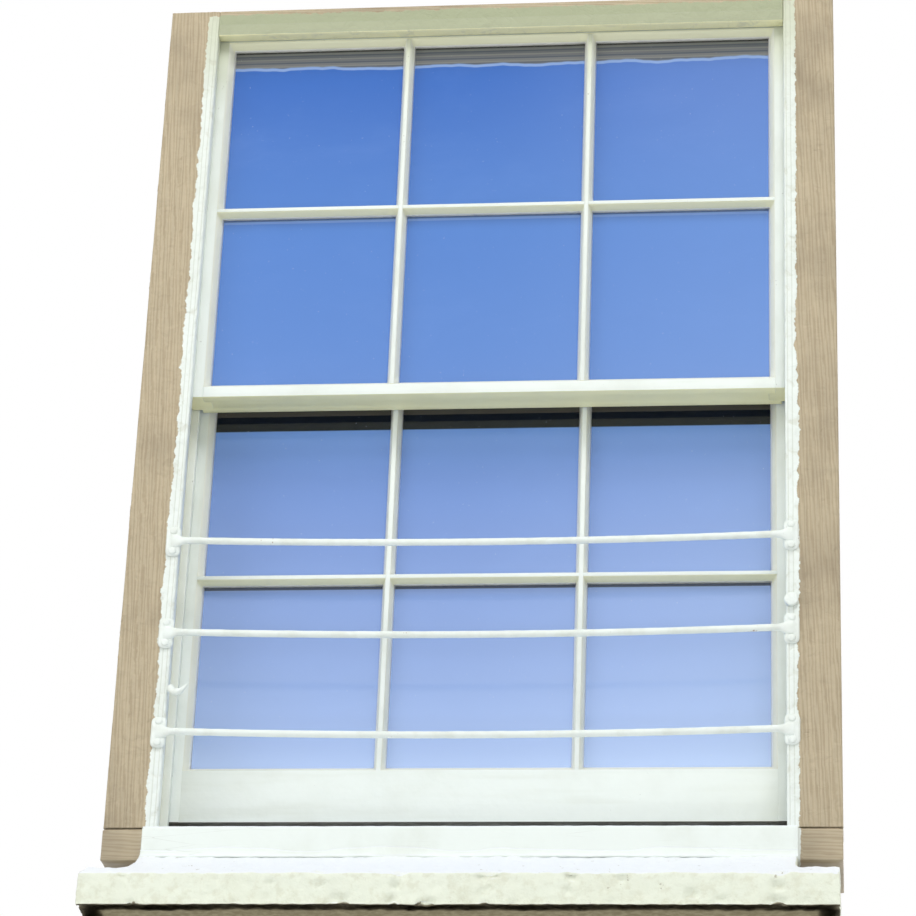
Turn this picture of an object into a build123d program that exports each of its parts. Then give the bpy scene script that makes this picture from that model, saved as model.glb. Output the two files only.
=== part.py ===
from build123d import *
import os
from math import cos, pi, radians, sin, tan

# A vertically sliding sash window: two six-pane sashes balanced by cords and iron weights in a
# timber box frame, on a timber sill and a stone sill, with three iron guard bars outside.
# Millimetres. +X is to the right seen from outside, +Y goes indoors and +Z is up. The origin is
# on the underside of the stone sill, in the middle, below the outer face of the outer linings.

# Panes and the members of a sash
PANE_W = 262.0
PANE_H = 280.0
COLUMNS = 3
ROWS = 2
GLASS_T = 3.0
BAR_W = 19.0
BAR_REBATE = 6.5
STILE_W = 32.5
TOP_RAIL_H = 32.0
MEETING_RAIL_H = 27.0
BOTTOM_RAIL_H = 87.0
SASH_T = 44.0
SASH_REBATE = 10.0
GLASS_DEPTH = 16.0
GLASS_EDGE_PLAY = 1.5
MOULD_R = 7.0
MOULD_STEP = 1.5
TENON_L = 18.0
TENON_T = 12.0
TENON_SHOULDER = 6.0
PUTTY_LIP = 0.8
PUTTY_SET = 0.8
RAIL_GROOVE = 8.0

# The slanting joint between the two meeting rails
JOINT_REACH = 9.5
JOINT_SET = 1.5
JOINT_GAP = 1.5

# The box frame
SIDE_PLAY = 1.5
FACE_PLAY = 1.5
HEAD_PLAY = 1.5
SILL_PLAY = 0.5
LINING_T = 19.0
SIDE_COVER = 10.0
HEAD_COVER = 22.0
LINING_ROUND = 2.5
HEAD_BOARD_T = 22.0
PULLEY_STILE_T = 20.0
HOUSING_D = 6.0
POCKET_W = 40.0
BACK_LINING_T = 6.0
PARTING_BEAD_W = 10.0
PARTING_BEAD_OUT = 11.0
PARTING_BEAD_IN = 7.0
STAFF_BEAD_W = 20.0
STAFF_BEAD_OUT = 14.0
STAFF_BEAD_ROUND = 5.0
SILL_BEAD_H = 26.0
PARTING_SLIP_T = 6.0
PARTING_SLIP_W = 34.0
SLIP_FOOT = 60.0
ACCESS_H = 380.0
ACCESS_W = 38.0
ACCESS_RISE = 70.0
ACCESS_SLANT = 15.0
LOWER_SASH_OPEN = 22.0

# Timber sill and stone sill
SILL_SLOPE = 10.0
SILL_NOSE_H = 45.0
SILL_NOSE_OUT = 22.0
SILL_NOSE_ROUND = 5.0
SILL_BACK = 142.0
DRIP_R = 4.0
DRIP_IN = 10.0
STONE_END_GAP = 3.0
STONE_OUT = 145.0
STONE_BACK = 130.0
STONE_FACE_H = 47.0
STONE_SEAT_Z = 110.0
stone_lEDGE = 4.0
STONE_ROUND = 6.0
BRICK_COVER = 60.0
WALL_FACE = 102.0
STOOL_Z = 70.0

# Pulleys, cords and weights
WHEEL_R = 24.0
WHEEL_W = 10.0
WHEEL_SIDES = 32
GROOVE_W = 6.8
CORD_R = 3.0
CORD_SIDES = 8
CORD_LINE_R = 22.0
CORD_BENDS = 6
CORD_SEAT_PLAY = 0.3
AXLE_R = 3.0
AXLE_PLAY = 0.05
CORD_INSET = 4.0
PULLEY_DROP = 75.0
FACE_PLATE_H = 120.0
FACE_PLATE_W = 26.0
FACE_PLATE_T = 3.0
CHEEK_T = 3.0
CHEEK_PLAY = 1.25
CHEEK_H = 44.0
CHEEK_NOSE_R = 10.0
CHEEK_NOSE_SIDES = 12
PULLEY_SLOT_H = 72.0
PULLEY_SLOT_W = 20.0
CORD_GROOVE_W = 14.0
CORD_GROOVE_H = 190.0
CORD_END_RISE = 8.0
WEIGHT_R = 18.0
WEIGHT_SHOULDER_R = 9.0
WEIGHT_SHOULDER_H = 22.0
UPPER_WEIGHT_L = 482.0
LOWER_WEIGHT_L = 574.0
UPPER_WEIGHT_RISE = 40.0
LOWER_WEIGHT_DROP = 80.0
EYE_H = 34.0
KNOT_W = 13.0
KNOT_H = 20.0
CORD_HOLE_PLAY = 0.5

# Guard bars, cap and peg on the outer linings
GUARD_BAR_R = 5.0
GUARD_BAR_OUT = 6.0
GUARD_BAR_RISES = {"top": 440.0, "middle": 297.0, "bottom": 146.0}
GUARD_BAR_SAG = 8.0
LUG_INSET = 8.0
LUG_H = 46.0
LUG_W = 22.0
LUG_T = 5.0
CAP_R = 10.5
CAP_T = 8.0
CAP_SIDES = 24
CAP_INSET = 7.5
CAP_RISE = 340.0
PEG_R = 3.0
PEG_SIDES = 12
PEG_RISE = 207.0
PEG_REACH = 30.0
PEG_DIP = 5.0
PEG_TIP_RISE = 15.0

# Fastener on the meeting rails and lifts on the bottom rail
FASTENER_BASE_L = 56.0
FASTENER_BASE_W = 26.0
FASTENER_BASE_T = 3.0
FASTENER_POST_R = 8.0
FASTENER_POST_H = 4.0
FASTENER_SIDES = 16
FASTENER_PIN_R = 3.0
FASTENER_PIN_PLAY = 0.05
ARM_T = 4.0
ARM_REACH = 47.0
ARM_W = 12.0
ARM_TAIL = 32.0
ARM_KNOB_R = 7.0
ARM_KNOB_H = 12.0
PIN_HEAD_R = 5.5
PIN_HEAD_H = 2.0
ARM_LIFT = 0.3
KEEPER_L = 44.0
KEEPER_W = 20.0
KEEPER_T = 2.5
KEEPER_HOOK_L = 22.0
KEEPER_LIP = 14.0
KEEPER_GAP = 0.8
LIFT_X = 220.0
LIFT_BEAD_GAP = 4.5
LIFT_PLATE_W = 34.0
LIFT_PLATE_H = 40.0
LIFT_PLATE_T = 2.5
LIFT_HOOK_T = 3.0
LIFT_HOOK_OUT = 26.0
LIFT_HOOK_UP = 20.0
LIFT_HOOK_W = 24.0

# Sash sizes worked out from the panes
glass_half = (COLUMNS * PANE_W + (COLUMNS - 1) * BAR_W) / 2
glass_h = ROWS * PANE_H + (ROWS - 1) * BAR_W
sash_half = glass_half + STILE_W
upper_h = MEETING_RAIL_H + glass_h + TOP_RAIL_H
lower_h = BOTTOM_RAIL_H + glass_h + MEETING_RAIL_H
rebate_depth = GLASS_DEPTH + GLASS_T

# Depths, from the outer face inwards
upper_y = LINING_T + FACE_PLAY
upper_back = upper_y + SASH_T
bead_y = upper_back + FACE_PLAY
bead_back = bead_y + PARTING_BEAD_W
lower_y = bead_back + FACE_PLAY
lower_back = lower_y + SASH_T
box_back = lower_back + FACE_PLAY
frame_back = box_back + LINING_T
channel_y = {"upper": upper_y + SASH_T / 2, "lower": lower_y + SASH_T / 2}

# Widths, from the middle outwards
day_half = sash_half + SIDE_PLAY
lining_edge = day_half - SIDE_COVER
pocket_in = day_half + PULLEY_STILE_T
pocket_out = pocket_in + POCKET_W
frame_half = pocket_out + BACK_LINING_T
stone_l = 2 * (frame_half - STONE_END_GAP)
opening_half = frame_half - BRICK_COVER

# Heights
nose_top = STONE_SEAT_Z + SILL_NOSE_H
slope = tan(radians(SILL_SLOPE))


def sill_top(y):
    """Height of the sloping top of the timber sill at a depth."""
    return nose_top + (y + SILL_NOSE_OUT) * slope


lower_closed = sill_top(lower_y) + SILL_PLAY
meeting_top = lower_closed + lower_h
lower_z = lower_closed + LOWER_SASH_OPEN
lower_top = lower_z + lower_h
upper_z = meeting_top - MEETING_RAIL_H
upper_top = upper_z + upper_h
soffit = upper_top + HEAD_PLAY
head_top = soffit + HEAD_BOARD_T
head_lining_z = soffit - HEAD_COVER
pulley_z = soffit - PULLEY_DROP
cord_x = day_half - CORD_INSET
wheel_x = cord_x + CORD_LINE_R
drop_x = wheel_x + CORD_LINE_R
groove_floor = cord_x - CORD_R - CORD_SEAT_PLAY

pieces = {}


def mirrored(piece):
    """The same piece on the other side of the window."""
    with BuildPart() as twin:
        mirror(piece.part, about=Plane.YZ)
    return twin


def both_sides(name, right_piece):
    """Keeps a piece of the right side and its twin on the left."""
    pieces[name + "_left"] = mirrored(right_piece)
    pieces[name + "_right"] = right_piece


def facing_out(y):
    """A drawing plane at a depth, seen from outside: x to the right, y up, extrudes outwards."""
    return Plane.XZ.offset(-y)


# Stone sill: a flat bed, a rough upright face, a steep weathered top and a level seat for the
# timber sill; outside the opening its top is cut down to seats for the brickwork
with BuildPart() as stone_sill:
    with BuildSketch(Plane.YZ) as stone_section:
        with BuildLine():
            Polyline(
                (-STONE_OUT, 0),
                (-STONE_OUT, STONE_FACE_H),
                (-SILL_NOSE_OUT - stone_lEDGE, STONE_SEAT_Z),
                (STONE_BACK, STONE_SEAT_Z),
                (STONE_BACK, 0),
                close=True,
            )
        make_face()
        front_arris = stone_section.vertices().sort_by(Axis.X)[:2].sort_by(Axis.Y)[-1]
        fillet(front_arris, STONE_ROUND)
    extrude(amount=stone_l / 2, both=True)
    with BuildSketch(Plane.XY.offset(STOOL_Z)):
        seat_w = stone_l / 2 - opening_half
        seat_d = WALL_FACE + STONE_BACK
        with Locations(
            (opening_half + seat_w / 2, STONE_BACK - seat_d / 2),
            (-opening_half - seat_w / 2, STONE_BACK - seat_d / 2),
        ):
            Rectangle(seat_w, seat_d)
    extrude(amount=STONE_SEAT_Z, mode=Mode.SUBTRACT)
    with BuildSketch(Plane.YZ.offset(-stone_l / 2)):
        with Locations((DRIP_IN + DRIP_R - STONE_OUT, 0)):
            Circle(DRIP_R)
    extrude(amount=stone_l, mode=Mode.SUBTRACT)
pieces["stone_sill"] = stone_sill

# Timber sill: sloping top, rounded nose with a drip below it, and trenches for the pulley stiles
with BuildPart() as timber_sill:
    with BuildSketch(Plane.YZ) as sill_section:
        with BuildLine():
            Polyline(
                (-SILL_NOSE_OUT, STONE_SEAT_Z),
                (-SILL_NOSE_OUT, nose_top),
                (SILL_BACK, sill_top(SILL_BACK)),
                (SILL_BACK, STONE_SEAT_Z),
                close=True,
            )
        make_face()
        nose_arris = sill_section.vertices().sort_by(Axis.X)[:2].sort_by(Axis.Y)[-1]
        fillet(nose_arris, SILL_NOSE_ROUND)
    extrude(amount=frame_half, both=True)
    with BuildSketch(Plane.XY.offset(STONE_SEAT_Z)):
        horn_w = frame_half - opening_half
        with Locations(
            (opening_half + horn_w / 2, -SILL_NOSE_OUT / 2),
            (-opening_half - horn_w / 2, -SILL_NOSE_OUT / 2),
        ):
            Rectangle(horn_w, SILL_NOSE_OUT)
    extrude(amount=SILL_NOSE_H * 2, mode=Mode.SUBTRACT)
    trench_z = sill_top(LINING_T) - HOUSING_D
    with BuildSketch(Plane.XY.offset(trench_z)):
        with Locations(
            (day_half + PULLEY_STILE_T / 2, (LINING_T + box_back) / 2),
            (-day_half - PULLEY_STILE_T / 2, (LINING_T + box_back) / 2),
        ):
            Rectangle(PULLEY_STILE_T, box_back - LINING_T)
    extrude(amount=SILL_NOSE_H, mode=Mode.SUBTRACT)
    with BuildSketch(Plane.YZ.offset(-opening_half)):
        with Locations((DRIP_IN - SILL_NOSE_OUT, STONE_SEAT_Z)):
            Circle(DRIP_R)
    extrude(amount=2 * opening_half, mode=Mode.SUBTRACT)
pieces["timber_sill"] = timber_sill

# Head board with trenches for the pulley stiles and a groove for the parting bead
with BuildPart() as head_board:
    with BuildSketch(Plane.XY.offset(soffit)):
        with Locations((0, (LINING_T + box_back) / 2)):
            Rectangle(2 * frame_half, box_back - LINING_T)
    extrude(amount=HEAD_BOARD_T)
    with BuildSketch(Plane.XY.offset(soffit)):
        with Locations(
            (day_half + PULLEY_STILE_T / 2, (LINING_T + box_back) / 2),
            (-day_half - PULLEY_STILE_T / 2, (LINING_T + box_back) / 2),
        ):
            Rectangle(PULLEY_STILE_T, box_back - LINING_T)
    extrude(amount=HOUSING_D, mode=Mode.SUBTRACT)
    with BuildSketch(Plane.XY.offset(soffit)):
        with Locations((0, (bead_y + bead_back) / 2)):
            Rectangle(2 * day_half, PARTING_BEAD_W)
    extrude(amount=PARTING_BEAD_IN, mode=Mode.SUBTRACT)
pieces["head_board"] = head_board

# The piece cut out of each pulley stile so that the weights can be reached: its ends slant
access_z = sill_top(box_back) + ACCESS_RISE
access_y = lower_y + (ACCESS_W / 2)
access_lean = PULLEY_STILE_T * tan(radians(ACCESS_SLANT))
with BuildPart() as pocket_piece_right:
    with BuildSketch(Plane.XZ.offset(-lower_y)):
        with BuildLine():
            Polyline(
                (day_half, access_z),
                (day_half, access_z + ACCESS_H),
                (pocket_in, access_z + ACCESS_H - access_lean),
                (pocket_in, access_z + access_lean),
                close=True,
            )
        make_face()
    extrude(amount=-ACCESS_W)
with BuildPart() as pocket_pieces:
    add(pocket_piece_right.part)
    mirror(pocket_piece_right.part, about=Plane.YZ)
pieces["pocket_pieces"] = pocket_pieces

# Pulley stile: groove for the parting bead, slots for the two pulleys, opening for the pocket
with BuildPart() as pulley_stile:
    with BuildSketch(Plane.XY.offset(trench_z)):
        with Locations((day_half + PULLEY_STILE_T / 2, (LINING_T + box_back) / 2)):
            Rectangle(PULLEY_STILE_T, box_back - LINING_T)
    extrude(amount=soffit + HOUSING_D - trench_z)
    with BuildSketch(Plane.XY.offset(trench_z)):
        with Locations((day_half + PARTING_BEAD_IN / 2, (bead_y + bead_back) / 2)):
            Rectangle(PARTING_BEAD_IN, PARTING_BEAD_W)
    extrude(amount=soffit + HOUSING_D - trench_z, mode=Mode.SUBTRACT)
    add(pocket_piece_right.part, mode=Mode.SUBTRACT)
    for pulley_y in channel_y.values():
        with BuildSketch(Plane.YZ.offset(day_half)):
            with Locations((pulley_y, pulley_z)):
                Rectangle(PULLEY_SLOT_W, PULLEY_SLOT_H)
        extrude(amount=PULLEY_STILE_T, mode=Mode.SUBTRACT)
        with BuildSketch(Plane.YZ.offset(day_half)):
            with Locations((pulley_y, pulley_z)):
                Rectangle(FACE_PLATE_W, FACE_PLATE_H)
        extrude(amount=FACE_PLATE_T, mode=Mode.SUBTRACT)
both_sides("pulley_stile", pulley_stile)

# Outer lining: stands on the sloping sill, and its inner arris is eased
with BuildPart() as outer_lining:
    with BuildSketch(Plane.XZ) as lining_face:
        with BuildLine():
            Polyline(
                (lining_edge, nose_top),
                (lining_edge, head_top),
                (frame_half, head_top),
                (frame_half, nose_top),
                close=True,
            )
        make_face()
    extrude(amount=-LINING_T)
    eased = outer_lining.edges().filter_by(Axis.Z).group_by(Axis.X)[0].sort_by(Axis.Y)[0]
    fillet(eased, LINING_ROUND)
    add(timber_sill.part, mode=Mode.SUBTRACT)
both_sides("outer_lining", outer_lining)

# Inner lining: flush with the face of the pulley stile, on the sloping sill
with BuildPart() as inner_lining:
    with BuildSketch(facing_out(frame_back)):
        with BuildLine():
            Polyline(
                (day_half, nose_top),
                (day_half, head_top),
                (frame_half, head_top),
                (frame_half, nose_top),
                close=True,
            )
        make_face()
    extrude(amount=LINING_T)
    add(timber_sill.part, mode=Mode.SUBTRACT)
both_sides("inner_lining", inner_lining)

# Back linings close the weight boxes towards the brickwork
with BuildPart() as back_linings:
    for side in (1, -1):
        with BuildSketch(Plane.XY.offset(nose_top)):
            with Locations((side * (pocket_out + BACK_LINING_T / 2), (LINING_T + box_back) / 2)):
                Rectangle(BACK_LINING_T, box_back - LINING_T)
        extrude(amount=soffit - nose_top)
    add(timber_sill.part, mode=Mode.SUBTRACT)
pieces["back_linings"] = back_linings

# Head linings, outside and inside
with BuildPart() as outer_head_lining:
    with BuildSketch(Plane.XZ):
        with Locations((0, (head_lining_z + head_top) / 2)):
            Rectangle(2 * lining_edge, head_top - head_lining_z)
    extrude(amount=-LINING_T)
    eased = outer_head_lining.edges().filter_by(Axis.X).group_by(Axis.Z)[0].sort_by(Axis.Y)[0]
    fillet(eased, LINING_ROUND)
pieces["outer_head_lining"] = outer_head_lining

with BuildPart() as inner_head_lining:
    with BuildSketch(facing_out(frame_back)):
        with Locations((0, (soffit + head_top) / 2)):
            Rectangle(2 * day_half, head_top - soffit)
    extrude(amount=LINING_T)
pieces["inner_head_lining"] = inner_head_lining

# Parting beads keep the two sashes apart
with BuildPart() as parting_bead:
    bead_w = PARTING_BEAD_OUT + PARTING_BEAD_IN
    with BuildSketch(Plane.XY.offset(trench_z)):
        with Locations((day_half + PARTING_BEAD_IN - bead_w / 2, (bead_y + bead_back) / 2)):
            Rectangle(bead_w, PARTING_BEAD_W)
    extrude(amount=soffit - trench_z)
    add(timber_sill.part, mode=Mode.SUBTRACT)
both_sides("parting_bead", parting_bead)

with BuildPart() as parting_bead_head:
    with BuildSketch(Plane.XY.offset(soffit + PARTING_BEAD_IN)):
        with Locations((0, (bead_y + bead_back) / 2)):
            Rectangle(2 * day_half, PARTING_BEAD_W)
    extrude(amount=-bead_w)
    add(parting_bead.part, mode=Mode.SUBTRACT)
    mirror(parting_bead.part, about=Plane.YZ, mode=Mode.SUBTRACT)
pieces["parting_bead_head"] = parting_bead_head

# Staff beads hold the lower sash in from the room: a mitred frame with a rounded arris
staff_y = box_back
staff_back = box_back + STAFF_BEAD_W
staff_in = day_half - STAFF_BEAD_OUT
staff_foot = sill_top(staff_y)
bead_gap_top = soffit - STAFF_BEAD_OUT
with BuildPart() as staff_bead:
    with BuildSketch(Plane.XY.offset(nose_top)) as staff_section:
        with Locations(((day_half + staff_in) / 2, staff_y + STAFF_BEAD_W / 2)):
            Rectangle(STAFF_BEAD_OUT, STAFF_BEAD_W)
        round_corner = staff_section.vertices().group_by(Axis.X)[0].sort_by(Axis.Y)[-1]
        fillet(round_corner, STAFF_BEAD_ROUND)
    extrude(amount=soffit - nose_top)
    with BuildSketch(facing_out(staff_y)):
        with BuildLine():
            Polyline(
                (staff_in, bead_gap_top),
                (day_half, soffit),
                (staff_in, soffit),
                close=True,
            )
        make_face()
    extrude(amount=-STAFF_BEAD_W, mode=Mode.SUBTRACT)
    add(timber_sill.part, mode=Mode.SUBTRACT)
both_sides("staff_bead", staff_bead)

with BuildPart() as staff_bead_head:
    with BuildSketch(Plane.YZ) as head_bead_section:
        with Locations((staff_y + STAFF_BEAD_W / 2, soffit - STAFF_BEAD_OUT / 2)):
            Rectangle(STAFF_BEAD_W, STAFF_BEAD_OUT)
        round_corner = head_bead_section.vertices().group_by(Axis.Y)[0].sort_by(Axis.X)[-1]
        fillet(round_corner, STAFF_BEAD_ROUND)
    extrude(amount=day_half, both=True)
    add(staff_bead.part, mode=Mode.SUBTRACT)
    mirror(staff_bead.part, about=Plane.YZ, mode=Mode.SUBTRACT)
pieces["staff_bead_head"] = staff_bead_head

with BuildPart() as staff_bead_sill:
    with BuildSketch(Plane.YZ) as sill_bead_section:
        with BuildLine():
            Polyline(
                (staff_y, sill_top(staff_y)),
                (staff_y, staff_foot + SILL_BEAD_H),
                (SILL_BACK, staff_foot + SILL_BEAD_H),
                (SILL_BACK, sill_top(SILL_BACK)),
                close=True,
            )
        make_face()
        round_corner = sill_bead_section.vertices().group_by(Axis.Y)[-1].sort_by(Axis.X)[-1]
        fillet(round_corner, STAFF_BEAD_ROUND)
    extrude(amount=staff_in, both=True)
pieces["staff_bead_sill"] = staff_bead_sill

# Parting slips hang in the boxes between the weights of the two sashes
with BuildPart() as parting_slips:
    for side in (1, -1):
        with BuildSketch(Plane.XY.offset(soffit)):
            with Locations((side * (pocket_in + POCKET_W / 2), (bead_y + bead_back) / 2)):
                Rectangle(PARTING_SLIP_W, PARTING_SLIP_T)
        extrude(amount=-(soffit - sill_top(bead_y) - SLIP_FOOT))
pieces["parting_slips"] = parting_slips


# Axle pulleys: a cast case with a face plate let into the stile, its axle pin and a grooved wheel
wheel_half = WHEEL_W / 2
cheek_in = wheel_half + CHEEK_PLAY
with BuildPart() as pulley_cases:
    for pulley_y in channel_y.values():
        with BuildSketch(Plane.YZ.offset(day_half)):
            with Locations((pulley_y, pulley_z)):
                Rectangle(FACE_PLATE_W, FACE_PLATE_H)
                Rectangle(2 * cheek_in, 2 * WHEEL_R + 2 * CHEEK_PLAY, mode=Mode.SUBTRACT)
        extrude(amount=FACE_PLATE_T)
        for cheek_y in (pulley_y - cheek_in, pulley_y + cheek_in + CHEEK_T):
            cheek_x = day_half + FACE_PLATE_T
            with BuildSketch(facing_out(cheek_y)):
                with Locations(((cheek_x + wheel_x) / 2, pulley_z)):
                    Rectangle(wheel_x - cheek_x, CHEEK_H)
                with Locations((wheel_x, pulley_z)):
                    RegularPolygon(CHEEK_NOSE_R, CHEEK_NOSE_SIDES)
            extrude(amount=CHEEK_T)
        with BuildSketch(facing_out(pulley_y - cheek_in)):
            with Locations((wheel_x, pulley_z)):
                Circle(AXLE_R)
        extrude(amount=-2 * cheek_in)
    mirror(about=Plane.YZ)
pieces["pulley_cases"] = pulley_cases

for sash_name, pulley_y in channel_y.items():
    groove_r = CORD_LINE_R - CORD_R - CORD_SEAT_PLAY
    with BuildPart() as wheel:
        with BuildSketch(facing_out(pulley_y)):
            with Locations((wheel_x, pulley_z)):
                RegularPolygon(WHEEL_R, WHEEL_SIDES)
        extrude(amount=wheel_half, both=True)
        with BuildSketch(facing_out(pulley_y)):
            with Locations((wheel_x, pulley_z)):
                RegularPolygon(WHEEL_R, WHEEL_SIDES)
                RegularPolygon(groove_r, WHEEL_SIDES, mode=Mode.SUBTRACT)
        extrude(amount=GROOVE_W / 2, both=True, mode=Mode.SUBTRACT)
        with BuildSketch(facing_out(pulley_y + wheel_half)):
            with Locations((wheel_x, pulley_z)):
                Circle(AXLE_R + AXLE_PLAY)
        extrude(amount=WHEEL_W, mode=Mode.SUBTRACT)
    both_sides(sash_name + "_pulley_wheel", wheel)

# Weights: cast iron sausages with a tapered shoulder, a cord hole and a window for the knot
weight_bottom = {
    "upper": sill_top(upper_y) + UPPER_WEIGHT_RISE,
    "lower": pulley_z - LOWER_WEIGHT_DROP - LOWER_WEIGHT_L,
}
weight_length = {"upper": UPPER_WEIGHT_L, "lower": LOWER_WEIGHT_L}
weight_top = {name: weight_bottom[name] + weight_length[name] for name in weight_bottom}
for sash_name, weight_y in channel_y.items():
    shoulder_z = weight_top[sash_name] - WEIGHT_SHOULDER_H
    with BuildPart() as weight:
        with BuildSketch(Plane.XZ.offset(-weight_y)):
            with BuildLine():
                Polyline(
                    (drop_x, weight_bottom[sash_name]),
                    (drop_x + WEIGHT_R, weight_bottom[sash_name]),
                    (drop_x + WEIGHT_R, shoulder_z),
                    (drop_x + WEIGHT_SHOULDER_R, weight_top[sash_name]),
                    (drop_x, weight_top[sash_name]),
                    close=True,
                )
            make_face()
        revolve(axis=Axis((drop_x, weight_y, 0), (0, 0, 1)))
        with BuildSketch(Plane.XY.offset(weight_top[sash_name])):
            with Locations((drop_x, weight_y)):
                RegularPolygon(CORD_R + CORD_HOLE_PLAY, CORD_SIDES)
        extrude(amount=-EYE_H, mode=Mode.SUBTRACT)
        with BuildSketch(Plane.XZ.offset(-weight_y)):
            with Locations((drop_x, weight_top[sash_name] - EYE_H - KNOT_H / 2)):
                Rectangle(KNOT_W, KNOT_H)
        extrude(amount=WEIGHT_R, mode=Mode.SUBTRACT)
    both_sides(sash_name + "_weight", weight)

# Cords: from the groove in the sash over the pulley, in short runs, and down into the weight
turns = [(2 * step + 1) * pi / (2 * CORD_BENDS) for step in range(CORD_BENDS)]
bend_r = CORD_LINE_R / cos(pi / (2 * CORD_BENDS))
bends = [(wheel_x - bend_r * cos(turn), pulley_z + bend_r * sin(turn)) for turn in turns]
cord_start = {
    "upper": upper_top - CORD_GROOVE_H + CORD_END_RISE,
    "lower": lower_top - CORD_GROOVE_H + CORD_END_RISE,
}
for sash_name, cord_y in channel_y.items():
    with BuildPart() as sash_cord:
        with BuildLine(facing_out(cord_y)) as cord_path:
            Polyline(
                (cord_x, cord_start[sash_name]),
                *bends,
                (drop_x, weight_top[sash_name] - EYE_H),
            )
        with BuildSketch(Plane((cord_x, cord_y, cord_start[sash_name]), z_dir=(0, 0, 1))):
            RegularPolygon(CORD_R, CORD_SIDES)
        sweep(path=cord_path.line, transition=Transition.RIGHT)
    both_sides(sash_name + "_cord", sash_cord)


def sticking(plane, width, rebate):
    """Section of a stile or rail: local x from the sight line outwards, local y indoors.

    The glass lies in a rebate cut from the outside, and the room side has a quarter-round mould.
    """
    arc_y = SASH_T - MOULD_STEP
    bulge = MOULD_R * (1 - cos(pi / 4))
    with BuildSketch(plane) as section:
        with BuildLine():
            Polyline(
                (0, arc_y - MOULD_R),
                (0, rebate_depth),
                (rebate, rebate_depth),
                (rebate, 0),
                (width, 0),
                (width, SASH_T),
                (MOULD_R, SASH_T),
                (MOULD_R, arc_y),
            )
            ThreePointArc((MOULD_R, arc_y), (bulge, arc_y - bulge), (0, arc_y - MOULD_R))
        make_face()
    return section.sketch


def bar_section(plane):
    """Section of a glazing bar: a thin fin outside between the panes, moulded to a nose indoors."""
    half = BAR_W / 2
    fin = half - BAR_REBATE
    nose = half - MOULD_R
    arc_y = SASH_T - MOULD_STEP
    bulge = MOULD_R * (1 - cos(pi / 4))
    with BuildSketch(plane) as section:
        with BuildLine():
            Polyline(
                (nose, arc_y),
                (nose, SASH_T),
                (-nose, SASH_T),
                (-nose, arc_y),
            )
            ThreePointArc((-nose, arc_y), (bulge - half, arc_y - bulge), (-half, arc_y - MOULD_R))
            Polyline(
                (-half, arc_y - MOULD_R),
                (-half, rebate_depth),
                (-fin, rebate_depth),
                (-fin, 0),
                (fin, 0),
                (fin, rebate_depth),
                (half, rebate_depth),
                (half, arc_y - MOULD_R),
            )
            ThreePointArc((half, arc_y - MOULD_R), (half - bulge, arc_y - bulge), (nose, arc_y))
        make_face()
    return section.sketch


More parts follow.
